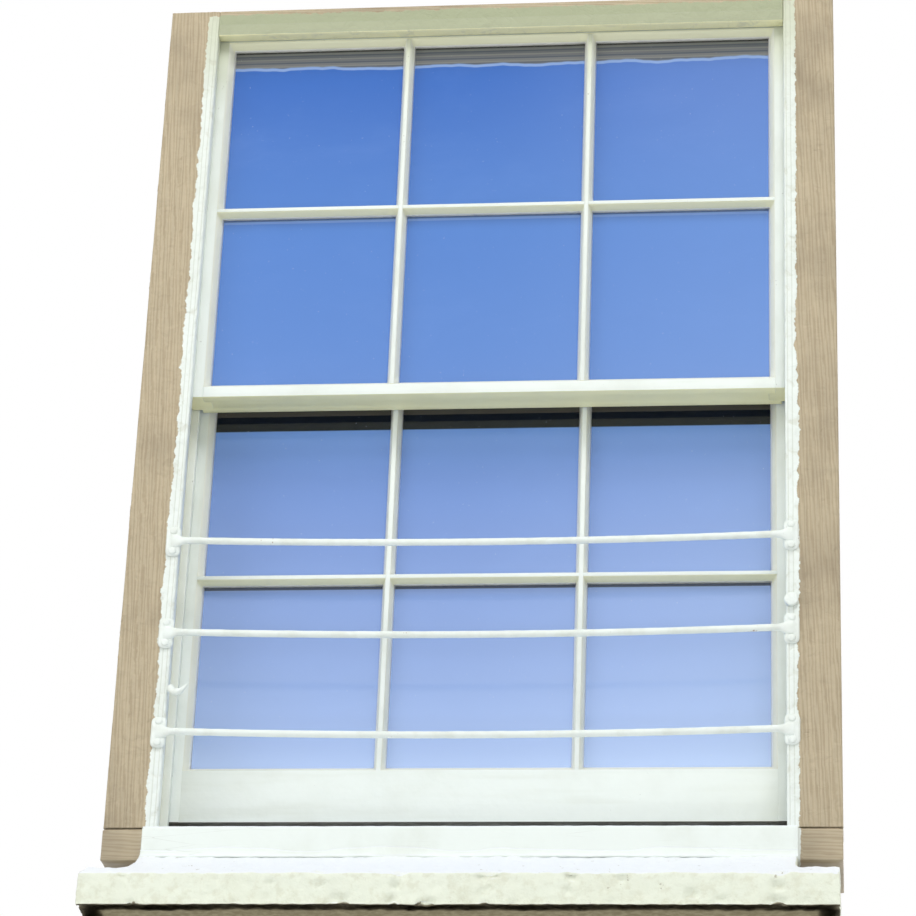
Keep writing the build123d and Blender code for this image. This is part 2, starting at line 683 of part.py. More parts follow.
def make_sash(name, face_y, bottom, bottom_sight, top_sight, top, meeting_section):
    """The joinery, glass and putty of one sash, from its outer face and its four heights."""
    is_upper = name == "upper"
    tenon_y = face_y + rebate_depth + TENON_SHOULDER / 2 + TENON_T / 2
    with BuildPart() as stile:
        extrude(
            sticking(Plane.XY.offset(bottom).move(Location((glass_half, face_y, 0))), STILE_W, SASH_REBATE),
            amount=top - bottom,
        )
        for low, high in ((bottom, bottom_sight), (top_sight, top)):
            with BuildSketch(Plane.XY.offset(low + TENON_SHOULDER)):
                with Locations((glass_half + TENON_L / 2, tenon_y)):
                    Rectangle(TENON_L, TENON_T)
            extrude(amount=high - low - 2 * TENON_SHOULDER, mode=Mode.SUBTRACT)
        with BuildSketch(Plane.XY.offset(top)):
            with Locations(((groove_floor + sash_half) / 2, face_y + SASH_T / 2)):
                Rectangle(sash_half - groove_floor, CORD_GROOVE_W)
        extrude(amount=-CORD_GROOVE_H, mode=Mode.SUBTRACT)
        if not is_upper:
            add(sill_wedge.part, mode=Mode.SUBTRACT)
    both_sides(name + "_sash_stile", stile)

    rail_half = glass_half + TENON_L
    with BuildPart() as moulded_rail:
        if is_upper:
            rail_plane = Plane((0, face_y, top_sight), x_dir=(0, 0, 1), z_dir=(-1, 0, 0))
            rail_width = TOP_RAIL_H
        else:
            rail_plane = Plane((0, face_y, bottom_sight), x_dir=(0, 0, -1), z_dir=(1, 0, 0))
            rail_width = BOTTOM_RAIL_H
        extrude(sticking(rail_plane, rail_width, SASH_REBATE), amount=rail_half, both=True)
        if not is_upper:
            add(sill_wedge.part, mode=Mode.SUBTRACT)
        add(stile.part, mode=Mode.SUBTRACT)
        mirror(stile.part, about=Plane.YZ, mode=Mode.SUBTRACT)
    pieces["upper_sash_top_rail" if is_upper else "lower_sash_bottom_rail"] = moulded_rail

    with BuildPart() as meeting_rail:
        extrude(meeting_section, amount=rail_half, both=True)
        add(stile.part, mode=Mode.SUBTRACT)
        mirror(stile.part, about=Plane.YZ, mode=Mode.SUBTRACT)
    pieces[name + "_sash_meeting_rail"] = meeting_rail

    first_bar = PANE_W + BAR_W / 2 - glass_half
    with BuildPart() as upright_bars:
        for column in range(COLUMNS - 1):
            bar_x = first_bar + column * (PANE_W + BAR_W)
            extrude(
                bar_section(Plane.XY.offset(bottom_sight - SASH_REBATE).move(Location((bar_x, face_y, 0)))),
                amount=glass_h + 2 * SASH_REBATE,
            )
        add(moulded_rail.part, mode=Mode.SUBTRACT)
        add(meeting_rail.part, mode=Mode.SUBTRACT)
    pieces[name + "_sash_upright_bars"] = upright_bars

    with BuildPart() as cross_bars:
        for row in range(ROWS - 1):
            bar_z = bottom_sight + PANE_H + BAR_W / 2 + row * (PANE_H + BAR_W)
            bar_plane = Plane((0, face_y, bar_z), x_dir=(0, 0, 1), z_dir=(-1, 0, 0))
            extrude(bar_section(bar_plane), amount=glass_half + SASH_REBATE, both=True)
        add(upright_bars.part, mode=Mode.SUBTRACT)
        add(stile.part, mode=Mode.SUBTRACT)
        mirror(stile.part, about=Plane.YZ, mode=Mode.SUBTRACT)
    pieces[name + "_sash_cross_bars"] = cross_bars

    top_rebate = SASH_REBATE if is_upper else RAIL_GROOVE
    with BuildPart() as panes:
        for column, row in pane_grid():
            left, right, low, high = pane_edges(column, row, bottom_sight)
            grow = pane_margins(column, row, top_rebate)
            spare = [margin - GLASS_EDGE_PLAY for margin in grow]
            with BuildSketch(facing_out(face_y + rebate_depth)):
                rectangle_between(left - spare[0], right + spare[1], low - spare[2], high + spare[3])
            extrude(amount=GLASS_T)
    pieces[name + "_sash_panes"] = panes

    with BuildPart() as putty:
        for column, row in pane_grid():
            left, right, low, high = pane_edges(column, row, bottom_sight)
            grow = pane_margins(column, row, SASH_REBATE if is_upper else 0)
            lip = [max(margin - PUTTY_LIP, 0) for margin in grow]
            with BuildSketch(facing_out(face_y + GLASS_DEPTH)):
                rectangle_between(left - grow[0], right + grow[1], low - grow[2], high + grow[3])
            extrude(amount=GLASS_DEPTH - PUTTY_SET)
            with BuildSketch(facing_out(face_y + GLASS_DEPTH)):
                rectangle_between(left, right, low, high)
            with BuildSketch(facing_out(face_y + PUTTY_SET)):
                rectangle_between(left - lip[0], right + lip[1], low - lip[2], high + lip[3])
            loft(mode=Mode.SUBTRACT)
    pieces[name + "_sash_putty"] = putty


def pane_grid():
    """Column and row of each pane, from the bottom left."""
    return [(column, row) for row in range(ROWS) for column in range(COLUMNS)]


def pane_edges(column, row, bottom_sight):
    """Left, right, bottom and top sight lines of a pane."""
    left = column * (PANE_W + BAR_W) - glass_half
    low = bottom_sight + row * (PANE_H + BAR_W)
    return left, left + PANE_W, low, low + PANE_H


def pane_margins(column, row, top_rebate):
    """Depth of the rebate left, right, below and above a pane."""
    left = SASH_REBATE if column == 0 else BAR_REBATE
    right = SASH_REBATE if column == COLUMNS - 1 else BAR_REBATE
    low = SASH_REBATE if row == 0 else BAR_REBATE
    high = top_rebate if row == ROWS - 1 else BAR_REBATE
    return left, right, low, high


def rectangle_between(left, right, low, high):
    """A rectangle in the current sketch from its four edges."""
    with Locations(((left + right) / 2, (low + high) / 2)):
        Rectangle(right - left, high - low)


# Upper meeting rail: thin, with a slanting back that the lower rail closes against
with BuildSketch(Plane.YZ) as upper_meeting_section:
    with BuildLine():
        Polyline(
            (upper_y, upper_z),
            (upper_back + JOINT_REACH, upper_z),
            (upper_back + JOINT_SET, meeting_top),
            (upper_y + rebate_depth, meeting_top),
            (upper_y + rebate_depth, meeting_top - SASH_REBATE),
            (upper_y, meeting_top - SASH_REBATE),
            close=True,
        )
    make_face()

# Lower meeting rail: its front leans out over the upper one; the glass enters a groove below it
lower_sight_top = lower_top - MEETING_RAIL_H
groove_y = lower_y + GLASS_DEPTH
with BuildSketch(Plane.YZ) as lower_meeting_section:
    with BuildLine():
        Polyline(
            (upper_back + JOINT_REACH + JOINT_GAP, lower_sight_top),
            (upper_back + JOINT_SET + JOINT_GAP, lower_top),
            (lower_back, lower_top),
            (lower_back, lower_sight_top),
            (groove_y + GLASS_T, lower_sight_top),
            (groove_y + GLASS_T, lower_sight_top + RAIL_GROOVE),
            (groove_y, lower_sight_top + RAIL_GROOVE),
            (groove_y, lower_sight_top),
            close=True,
        )
    make_face()
    lower_corner = lower_meeting_section.vertices().group_by(Axis.Y)[0].sort_by(Axis.X)[-1]
    fillet(lower_corner, MOULD_R)

# What is planed off the foot of the lower sash so that it beds on the slope of the sill
with BuildPart() as sill_wedge:
    with BuildSketch(Plane.YZ):
        with BuildLine():
            Polyline(
                (lower_y, lower_z),
                (lower_back, lower_z + SASH_T * slope),
                (lower_back, lower_z - DRIP_R),
                (lower_y, lower_z - DRIP_R),
                close=True,
            )
        make_face()
    extrude(amount=frame_half, both=True)

make_sash(
    "upper", upper_y, upper_z, meeting_top, meeting_top + glass_h, upper_top,
    upper_meeting_section.sketch,
)
make_sash(
    "lower", lower_y, lower_z, lower_z + BOTTOM_RAIL_H, lower_sight_top, lower_top,
    lower_meeting_section.sketch,
)

# Guard bars: round iron, sagging a little, each end flattened to a lug screwed to the lining
lug_x = lining_edge + LUG_INSET
for bar_name, bar_rise in GUARD_BAR_RISES.items():
    bar_z = nose_top + bar_rise
    with BuildPart() as guard_bar:
        with BuildLine(facing_out(-GUARD_BAR_OUT)) as bar_line:
            Polyline(
                (-lug_x, bar_z),
                (-lug_x / 2, bar_z - GUARD_BAR_SAG * 3 / 4),
                (0, bar_z - GUARD_BAR_SAG),
                (lug_x / 2, bar_z - GUARD_BAR_SAG * 3 / 4),
                (lug_x, bar_z),
            )
        with BuildSketch(Plane(bar_line.line @ 0, z_dir=bar_line.line % 0)):
            Circle(GUARD_BAR_R)
        sweep(path=bar_line.line, transition=Transition.RIGHT)
        with BuildSketch(Plane.XZ):
            with Locations((lug_x, bar_z), (-lug_x, bar_z)):
                SlotOverall(LUG_H, LUG_W, rotation=90)
        extrude(amount=LUG_T)
    pieces["guard_bar_" + bar_name] = guard_bar

# A domed cap on the right lining and a bent peg on the left one
with BuildPart() as lining_cap:
    with BuildSketch(Plane.XZ):
        with Locations((lining_edge + CAP_INSET, nose_top + CAP_RISE)):
            RegularPolygon(CAP_R, CAP_SIDES)
    extrude(amount=CAP_T)
    chamfer(lining_cap.edges().group_by(Axis.Y)[0], CAP_T / 2)
pieces["lining_cap"] = lining_cap

with BuildPart() as lining_peg:
    peg_z = nose_top + PEG_RISE
    peg_start = (-lining_edge - PEG_REACH / 3, -PEG_R, peg_z)
    peg_low = (-lining_edge + PEG_REACH / 3, -PEG_R - PEG_DIP, peg_z - PEG_DIP)
    peg_tip = (-lining_edge + PEG_REACH, -PEG_R - 2 * PEG_DIP, peg_z + PEG_TIP_RISE)
    with BuildLine() as peg_line:
        Polyline(peg_start, peg_low, peg_tip)
    with BuildSketch(Plane(peg_line.line @ 0, z_dir=peg_line.line % 0)):
        RegularPolygon(PEG_R, PEG_SIDES)
    sweep(path=peg_line.line, transition=Transition.RIGHT)
    add(pieces["outer_lining_left"].part, mode=Mode.SUBTRACT)
pieces["lining_peg"] = lining_peg

# Fastener: a pivoted arm on the lower meeting rail that turns under a hook on the upper one
fastener_y = lower_y + SASH_T / 2
post_top = lower_top + FASTENER_BASE_T + FASTENER_POST_H
with BuildPart() as fastener_base:
    with BuildSketch(Plane.XY.offset(lower_top)):
        with Locations((0, fastener_y)):
            SlotOverall(FASTENER_BASE_L, FASTENER_BASE_W)
    extrude(amount=FASTENER_BASE_T)
    with BuildSketch(Plane.XY.offset(lower_top)):
        with Locations((0, fastener_y)):
            RegularPolygon(FASTENER_POST_R, FASTENER_SIDES)
    extrude(amount=FASTENER_BASE_T + FASTENER_POST_H)
    with BuildSketch(Plane.XY.offset(post_top)):
        with Locations((0, fastener_y)):
            Circle(FASTENER_PIN_R)
    extrude(amount=2 * ARM_LIFT + ARM_T)
    with BuildSketch(Plane.XY.offset(post_top + 2 * ARM_LIFT + ARM_T)):
        with Locations((0, fastener_y)):
            RegularPolygon(PIN_HEAD_R, FASTENER_SIDES)
    extrude(amount=PIN_HEAD_H)
pieces["fastener_base"] = fastener_base

arm_z = post_top + ARM_LIFT
with BuildPart() as fastener_arm:
    with BuildSketch(Plane.XY.offset(arm_z)):
        with Locations(((ARM_TAIL - ARM_REACH) / 2, fastener_y)):
            SlotOverall(ARM_TAIL + ARM_REACH, ARM_W)
        with Locations((0, fastener_y)):
            RegularPolygon(FASTENER_POST_R, FASTENER_SIDES)
            Circle(FASTENER_PIN_R + FASTENER_PIN_PLAY, mode=Mode.SUBTRACT)
    extrude(amount=ARM_T)
    with BuildSketch(Plane.XY.offset(arm_z + ARM_T)):
        with Locations((ARM_TAIL - ARM_KNOB_R, fastener_y)):
            RegularPolygon(ARM_KNOB_R, FASTENER_SIDES)
    extrude(amount=ARM_KNOB_H - ARM_T)
    chamfer(fastener_arm.edges().group_by(Axis.Z)[-1], ARM_KNOB_R / 4)
pieces["fastener_arm"] = fastener_arm

keeper_y = upper_back - KEEPER_W / 2
closed_arm_top = arm_z + ARM_T - LOWER_SASH_OPEN
hook_y = fastener_y - ARM_REACH - KEEPER_GAP
with BuildPart() as fastener_keeper:
    with BuildSketch(Plane.XY.offset(meeting_top)):
        with Locations((0, keeper_y)):
            RectangleRounded(KEEPER_L, KEEPER_W, KEEPER_T)
    extrude(amount=KEEPER_T)
    with BuildSketch(Plane.YZ):
        with BuildLine():
            Polyline(
                (hook_y - KEEPER_T, meeting_top + KEEPER_T),
                (hook_y - KEEPER_T, closed_arm_top + KEEPER_GAP + KEEPER_T),
                (hook_y + KEEPER_LIP, closed_arm_top + KEEPER_GAP + KEEPER_T),
                (hook_y + KEEPER_LIP, closed_arm_top + KEEPER_GAP),
                (hook_y, closed_arm_top + KEEPER_GAP),
                (hook_y, meeting_top + KEEPER_T),
                close=True,
            )
        make_face()
    extrude(amount=KEEPER_HOOK_L / 2, both=True)
pieces["fastener_keeper"] = fastener_keeper

# Hook lifts on the room side of the bottom rail
lift_foot = staff_foot + SILL_BEAD_H + LIFT_BEAD_GAP + LOWER_SASH_OPEN
lift_z = lift_foot + LIFT_PLATE_H / 2
with BuildPart() as sash_lifts:
    for lift_x in (-LIFT_X, LIFT_X):
        with BuildSketch(facing_out(lower_back)):
            with Locations((lift_x, lift_z)):
                RectangleRounded(LIFT_PLATE_W, LIFT_PLATE_H, LIFT_HOOK_T)
        extrude(amount=-LIFT_PLATE_T)
        with BuildSketch(Plane.YZ.offset(lift_x)) as hook_section:
            hook_root = lower_back + LIFT_PLATE_T
            hook_low = lift_z - LIFT_HOOK_UP / 2
            with BuildLine():
                Polyline(
                    (hook_root, hook_low),
                    (hook_root + LIFT_HOOK_OUT, hook_low),
                    (hook_root + LIFT_HOOK_OUT, hook_low + LIFT_HOOK_UP),
                    (hook_root + LIFT_HOOK_OUT - LIFT_HOOK_T, hook_low + LIFT_HOOK_UP),
                    (hook_root + LIFT_HOOK_OUT - LIFT_HOOK_T, hook_low + LIFT_HOOK_T),
                    (hook_root, hook_low + LIFT_HOOK_T),
                    close=True,
                )
            make_face()
            outer_corner = hook_section.vertices().group_by(Axis.Y)[0].sort_by(Axis.X)[-1]
            fillet(outer_corner, 2 * LIFT_HOOK_T)
        extrude(amount=LIFT_HOOK_W / 2, both=True)
pieces["sash_lifts"] = sash_lifts

os.makedirs("parts", exist_ok=True)
for name, piece in pieces.items():
    piece.part.label = name
    export_step(piece.part, f"parts/{name}.step")
print(len(pieces), "pieces")
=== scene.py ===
import math

import bmesh
import bpy
import numpy as np
from bpy.props import FloatProperty, FloatVectorProperty, IntProperty, PointerProperty
from mathutils import Matrix, Vector


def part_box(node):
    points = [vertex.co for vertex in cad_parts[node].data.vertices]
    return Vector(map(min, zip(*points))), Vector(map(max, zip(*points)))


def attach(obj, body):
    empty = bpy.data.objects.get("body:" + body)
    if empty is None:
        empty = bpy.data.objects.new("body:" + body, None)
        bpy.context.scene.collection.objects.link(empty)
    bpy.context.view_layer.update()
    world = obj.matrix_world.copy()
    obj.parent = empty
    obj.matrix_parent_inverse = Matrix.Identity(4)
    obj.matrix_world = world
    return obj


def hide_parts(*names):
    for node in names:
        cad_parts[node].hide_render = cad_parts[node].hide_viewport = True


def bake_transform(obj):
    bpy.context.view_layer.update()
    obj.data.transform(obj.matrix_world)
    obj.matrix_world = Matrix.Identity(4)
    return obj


bl_info = {
    "name": "Sash Window",
    "version": (1, 0, 0),
    "blender": (4, 5, 0),
    "location": "3D View > Sidebar > Sash Window",
    "description": "Paint, glass, putty, ironwork and cords for a small-paned sash window",
    "category": "Object",
}

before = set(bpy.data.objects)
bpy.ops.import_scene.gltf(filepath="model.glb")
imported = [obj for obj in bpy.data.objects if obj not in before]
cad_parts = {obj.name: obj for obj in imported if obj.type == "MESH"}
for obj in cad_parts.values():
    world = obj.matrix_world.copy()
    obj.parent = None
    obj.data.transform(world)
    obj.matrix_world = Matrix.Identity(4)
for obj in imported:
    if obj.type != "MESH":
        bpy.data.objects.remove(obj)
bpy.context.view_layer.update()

SASHES = ("upper", "lower")
SIDES = {"left": -1.0, "right": 1.0}
SLOPE = math.tan(math.radians(10))


def rgb(red, green, blue):
    """Linear colour from 0 to 255 screen values: ((c + 0.055) / 1.055) to the power 2.4."""
    return tuple(((c / 255 + 0.055) / 1.055) ** 2.4 for c in (red, green, blue))


def colour_property(name, description, default):
    return FloatVectorProperty(
        name=name, description=description, subtype="COLOR", size=3, min=0, max=1, default=default
    )


def length_property(name, description, default, low, high):
    return FloatProperty(
        name=name, description=description, default=default, min=low, max=high, unit="LENGTH"
    )


class PaintColours(bpy.types.PropertyGroup):
    """Colours of the paint, the timber, the stone and the glass."""

    paint: colour_property("Paint", "Old white gloss paint", rgb(236, 242, 237))
    # Grime is real dirt in patches and streaks, and also the painted shade that grows towards the
    # head
    grime_and_shade: colour_property("Grime", "Dirt and algae that dull the paint", rgb(182, 184, 158))
    putty: colour_property("Putty", "Painted putty round the panes", rgb(244, 243, 234))
    timber: colour_property("Bare timber", "Aged softwood without paint", rgb(186, 172, 146))
    timber_dark: colour_property("Timber grain", "Late wood in bare timber", rgb(150, 130, 102))
    stone: colour_property("Stone sill", "Masonry paint on the stone sill", rgb(236, 240, 224))
    stone_dark: colour_property("Bare stone", "Stone that has lost its paint", rgb(150, 141, 120))
    # The glass colours are painted light: a painted reflection of the sky, and a painted dark strip
    # of reflection and shade below each rail
    sky_reflection_high: colour_property("Glass, top", "Blue of the topmost panes", rgb(30, 94, 182))
    sky_reflection_low: colour_property("Glass, foot", "Blue of the lowest panes", rgb(198, 219, 255))
    glass_shade: colour_property("Glass, shade", "Dark strip below each rail", rgb(12, 15, 18))


class WearSizes(bpy.types.PropertyGroup):
    """How thick and uneven the old paint lies."""

    lump: length_property("Paint lumps", "Height of lumps in the paint", 0.0013, 0, 0.003)
    stone_lump: length_property("Stone lumps", "Depth of the stone's hollows", 0.0032, 0, 0.006)
    paint_edge: length_property(
        "Paint edge", "Distance from the middle where the painted face ends", 0.4535, 0.44, 0.51
    )
    paint_top: length_property(
        "Paint top", "Height where the painted face of the head ends", 1.4925, 1.46, 1.52
    )
    arris: length_property("Arris", "Rounding that paint leaves on sharp edges", 0.0009, 0, 0.003)


class CordSizes(bpy.types.PropertyGroup):
    """The plaited sash cords."""

    plait: length_property("Plait length", "Length of one turn of the plait", 0.016, 0.005, 0.05)
    strands: IntProperty(name="Strands", description="Strands of a plait", default=8, min=4, max=16)


def settings():
    scene = bpy.context.scene
    return scene.sash_paint, scene.sash_wear, scene.sash_cord


# Sizes that the pieces share, in part read from the CAD nodes

def middle(node, axis):
    """Middle of a node's box along one axis."""
    return float(sum(corner[axis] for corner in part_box(node)) / 2)


LINING_LOW, LINING_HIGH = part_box("outer_lining_right")
PANE = (0.262, 0.280)
BAR = 0.019
BAR_REBATE = 0.0065
SASH_REBATE = 0.010
# The counterbalance: the cord's three places across, its size, and the wheel that it turns
CORD_X = 0.442
WHEEL_X = 0.464
DROP_X = 0.486
CORD_R = 0.003
CORD_LINE_R = 0.022
CORD_STEP = 0.002
WHEEL_R = 0.024
WHEEL_HALF = 0.005
PULLEY_Z = middle("upper_pulley_wheel_left", 2)
CHANNEL = {sash: middle(f"{sash}_pulley_wheel_left", 1) for sash in SASHES}
PLATE_X = 0.446
PLATE_SCREW_RISE = 0.048
# From the top of a sash stile, and of a weight, down to the cord's end
CORD_END_DROP = 0.182
KNOT_DROP = 0.034
# Half width and half height of the flattened ends of the guard bars, and their screws
LUG = np.array([0.011, 0.023])
LUG_SCREW_RISE = 0.0155
BAR_SAG = 0.008
LIFT_X = 0.220
# Lines of the moulding: from the middle on the side linings, and heights on the head lining
QUIRKS = {"z": (0.4412, 0.4478), "x": (1.4635, 1.4755)}
# Heights between which the painted shade under the head grows, and how far down a face looks before
# it is an underside
SHADE_RISE = (0.75, 1.5)
UNDERSIDE = (-0.75, -0.35)
# Least distance between two vertices of a CAD node, and of a new mesh
CAD_MERGE = 2e-6
MERGE = 1e-6


def glass_bottom(sash):
    """Height of the lowest sight line of a sash."""
    rail = "upper_sash_meeting_rail" if sash == "upper" else "lower_sash_bottom_rail"
    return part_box(rail)[1].z


# Meshes

def ripple(points, length, seed, layers=5):
    """Smooth uneven height between about -1 and 1 at each point.

    A sum of sine waves in random directions, three to each layer k, every next layer shorter and
    lower: sum of sin(2 pi p.d / (length 0.62^k) + phase) 0.7^k, over 1.5 times the sum of 0.7^k.
    """
    rng = np.random.default_rng(seed)
    flat = points.reshape(-1, 3)
    total = np.zeros(len(flat))
    weight = 0.0
    for layer in range(layers):
        wave = length * 0.62**layer
        for _ in range(3):
            direction = rng.normal(size=3)
            direction /= np.linalg.norm(direction)
            phase = rng.uniform(0, 2 * np.pi)
            total += 0.7**layer * np.sin(2 * np.pi * flat @ direction / wave + phase)
        weight += 3 * 0.7**layer
    return (total / weight * 2).reshape(points.shape[:-1])


def hollow(points, length, seed, layers=3):
    """The same unevenness as a depth between about 0 and 1."""
    return 0.5 - 0.5 * ripple(points, length, seed, layers)


def smooth_step(low, high, value):
    """0 at low and before it, 1 at high and past it, and 3 t^2 - 2 t^3 between them."""
    t = np.clip((value - low) / (high - low), 0, 1)
    return t * t * (3 - 2 * t)


def grid(x, y, z):
    """Points from three coordinates, each an array or one number for all."""
    return np.stack(np.broadcast_arrays(x, y, z), -1)


def rectangle(low, high):
    """Corners of a rectangle, from the lowest one round."""
    return [(low[0], low[1]), (high[0], low[1]), (high[0], high[1]), (low[0], high[1])]


def outline(corners, radii, step):
    """Closed outline through corners in a plane, each rounded, with its points evenly spaced.

    At corner c the round runs from a to b, both a radius away: (1-t)^2 a + 2t(1-t) c + t^2 b.
    """
    corners = np.array(corners, float)
    back = np.roll(corners, 1, axis=0) - corners
    ahead = np.roll(corners, -1, axis=0) - corners
    back /= np.linalg.norm(back, axis=1)[:, None]
    ahead /= np.linalg.norm(ahead, axis=1)[:, None]
    radii = np.broadcast_to(radii, len(corners))[:, None]
    a, b = (corners + back * radii)[:, None], (corners + ahead * radii)[:, None]
    t = np.linspace(0, 1, 7)[None, :, None]
    path = ((1 - t) ** 2 * a + 2 * t * (1 - t) * corners[:, None] + t**2 * b).reshape(-1, 2)
    path = np.vstack([path, path[:1]])
    along = np.concatenate([[0], np.cumsum(np.linalg.norm(np.diff(path, axis=0), axis=1))])
    even = np.linspace(0, along[-1], max(8, int(along[-1] / step)), endpoint=False)
    return np.stack([np.interp(even, along, path[:, k]) for k in (0, 1)], -1)


def loft_mesh(name, rings, loop=False):
    """A mesh from an array of closed rings of points, ring by point by xyz.

    Point (i, j) joins (i + 1, j) and (i, j + 1). The first and the last ring are capped, and with
    loop the last ring joins the first one instead.
    """
    count, around = rings.shape[:2]
    i, j = np.meshgrid(np.arange(count if loop else count - 1), np.arange(around), indexing="ij")
    i_next, j_next = (i + 1) % count, (j + 1) % around
    corners = ((i, j), (i, j_next), (i_next, j_next), (i_next, j))
    faces = np.stack([a * around + b for a, b in corners], -1).reshape(-1, 4).tolist()
    if not loop:
        last = (count - 1) * around
        faces += [list(range(around))[::-1], list(range(last, last + around))]
    mesh = bpy.data.meshes.new(name)
    mesh.from_pydata(rings.reshape(-1, 3).tolist(), [], faces)
    mesh.update()
    return mesh


def outward(mesh):
    """Merges the doubles of a closed mesh and turns every face outwards."""
    work = bmesh.new()
    work.from_mesh(mesh)
    bmesh.ops.remove_doubles(work, verts=work.verts, dist=MERGE)
    bmesh.ops.recalc_face_normals(work, faces=work.faces)
    work.to_mesh(mesh)
    work.free()
    return mesh


def joined(name, meshes):
    """One mesh that holds several."""
    work = bmesh.new()
    for mesh in meshes:
        work.from_mesh(mesh)
        bpy.data.meshes.remove(mesh)
    mesh = bpy.data.meshes.new(name)
    work.to_mesh(mesh)
    work.free()
    return mesh


def read_points(mesh, kind="co"):
    """Positions or normals of a mesh's vertices as an array."""
    values = np.empty(len(mesh.vertices) * 3, np.float32)
    source = mesh.vertices if kind == "co" else mesh.vertex_normals
    source.foreach_get("co" if kind == "co" else "vector", values)
    return values.reshape(-1, 3).astype(float)


def write_points(mesh, points):
    """Moves a mesh's vertices to the given positions."""
    mesh.vertices.foreach_set("co", points.astype(np.float32).ravel())
    mesh.update()
    return mesh


def worn(mesh, depth):
    """Sinks each vertex along its normal by depth(points), in metres."""
    points = read_points(mesh)
    return write_points(mesh, points - read_points(mesh, "normal") * depth(points)[:, None])


def inside(mesh, low, high):
    """Keeps every vertex of a mesh inside a box."""
    return write_points(mesh, np.clip(read_points(mesh), np.array(low), np.array(high)))


def lumps(points, wear, seed, fine=0.012, coarse=0.07):
    """Depth of thick old paint: broad waves stretched along the board, and fine ones."""
    broad = hollow(points * np.array([1, 1, 0.35]), coarse, seed)
    return wear * (0.65 * broad + 0.55 * hollow(points, fine, seed + 1))


def lathe(name, profile, centre, axis, around=48, loop=False):
    """A turned piece: point (i, j) lies at radius r_i and height h_i on the axis, at the angle
    2 pi j / around."""
    radius, height = np.array(profile, float).T
    angle = 2 * np.pi * np.arange(around) / around
    u, v = radius[:, None] * np.cos(angle), radius[:, None] * np.sin(angle)
    w = height[:, None] + 0 * u
    rings = np.stack({"x": (w, u, v), "y": (v, w, u), "z": (u, v, w)}[axis], -1)
    return outward(loft_mesh(name, rings + np.array(centre, float), loop=loop))


def tube(name, path, wide, deep, reference, around=16, swell=None):
    """A tube along points: ring i is centre_i + wide_i sin(a) up_i + deep_i cos(a) side_i, where
    side is square to the path and to the reference direction, times swell where it is given."""
    path = np.array(path, float)
    ahead = np.gradient(path, axis=0)
    ahead /= np.linalg.norm(ahead, axis=1)[:, None]
    side = np.cross(np.broadcast_to(reference, path.shape), ahead)
    side /= np.linalg.norm(side, axis=1)[:, None]
    up = np.cross(ahead, side)
    angle = 2 * np.pi * np.arange(around) / around
    wide, deep = np.broadcast_to(wide, len(path)), np.broadcast_to(deep, len(path))
    scale = 1.0 if swell is None else swell(path, angle)[:, :, None]
    rings = path[:, None] + scale * (
        (deep[:, None] * np.cos(angle))[:, :, None] * side[:, None]
        + (wide[:, None] * np.sin(angle))[:, :, None] * up[:, None]
    )
    return outward(loft_mesh(name, rings))


def slotted_screw(centre, axis, out, radius, height, turn):
    """A countersunk screw head with a slot: two half discs, raised in the middle, on a full disc.

    Each half is a fan of points at radius r and angle a about the axis, clipped at half the
    slot's width.
    """
    slot = radius * 0.13
    start = math.asin(slot / radius)
    arc = start + (math.pi - 2 * start) * np.linspace(0, 1, 13)
    rim = np.stack([radius * np.cos(arc), radius * np.sin(arc)], -1)
    meshes = []
    for half in (0, math.pi):
        rings = []
        for size, level in ((1.0, 0.0), (1.0, 0.45), (0.88, 0.8), (0.5, 1.0), (0.02, 1.05)):
            x, y = (rim * size).T
            rings.append(grid(x, np.maximum(y, slot), level * height))
        x, y, z = np.moveaxis(np.array(rings), -1, 0)
        c, s = math.cos(half + turn), math.sin(half + turn)
        meshes.append(loft_mesh("half", grid(x * c - y * s, x * s + y * c, z)))
    angle = 2 * np.pi * np.arange(24) / 24
    x, y = radius * 0.97 * np.cos(angle), radius * 0.97 * np.sin(angle)
    meshes.append(loft_mesh("disc", np.array([grid(x, y, h * height) for h in (-0.3, 0.3)])))
    mesh = outward(joined("screw", meshes))
    u, v, w = read_points(mesh).T
    w = w * out
    order = {"x": (w, u, v), "y": (u, w, v), "z": (u, v, w)}[axis]
    return outward(write_points(mesh, np.stack(order, -1) + np.array(centre, float)))


# Pieces

def merged_copy(node):
    """A copy of a CAD node's mesh, and the same with its doubles merged, ready for work."""
    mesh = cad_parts[node].data.copy()
    work = bmesh.new()
    work.from_mesh(mesh)
    bmesh.ops.remove_doubles(work, verts=work.verts, dist=CAD_MERGE)
    return mesh, work


def cast_copy(node, voxel):
    """A CAD node's shape as one even skin of small faces, its arrises just off sharp."""
    mesh, work = merged_copy(node)
    work.to_mesh(mesh)
    work.free()
    rough = bpy.data.objects.new("rough", mesh)
    bpy.context.scene.collection.objects.link(rough)
    remesh = rough.modifiers.new("skin", "REMESH")
    remesh.mode = "VOXEL"
    remesh.voxel_size = voxel
    graph = bpy.context.evaluated_depsgraph_get()
    skin = bpy.data.meshes.new_from_object(rough.evaluated_get(graph))
    bpy.data.objects.remove(rough)
    bpy.data.meshes.remove(mesh)
    if not skin.polygons:
        raise RuntimeError(f"{node} gave no skin")
    return skin


def put(name, mesh, material, body, nodes=()):
    """Links a piece to the scene, on its body, with its finish, in place of CAD nodes."""
    mesh.name = name
    piece = bpy.data.objects.new(name, mesh)
    bpy.context.scene.collection.objects.link(piece)
    mesh.materials.clear()
    mesh.materials.append(material)
    mesh.shade_smooth()
    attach(piece, body)
    if nodes:
        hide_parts(*nodes)
    return piece


def dress(node, material):
    """Gives a CAD node that stays as it is its finish."""
    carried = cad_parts[node]
    carried.data.materials.clear()
    carried.data.materials.append(material)


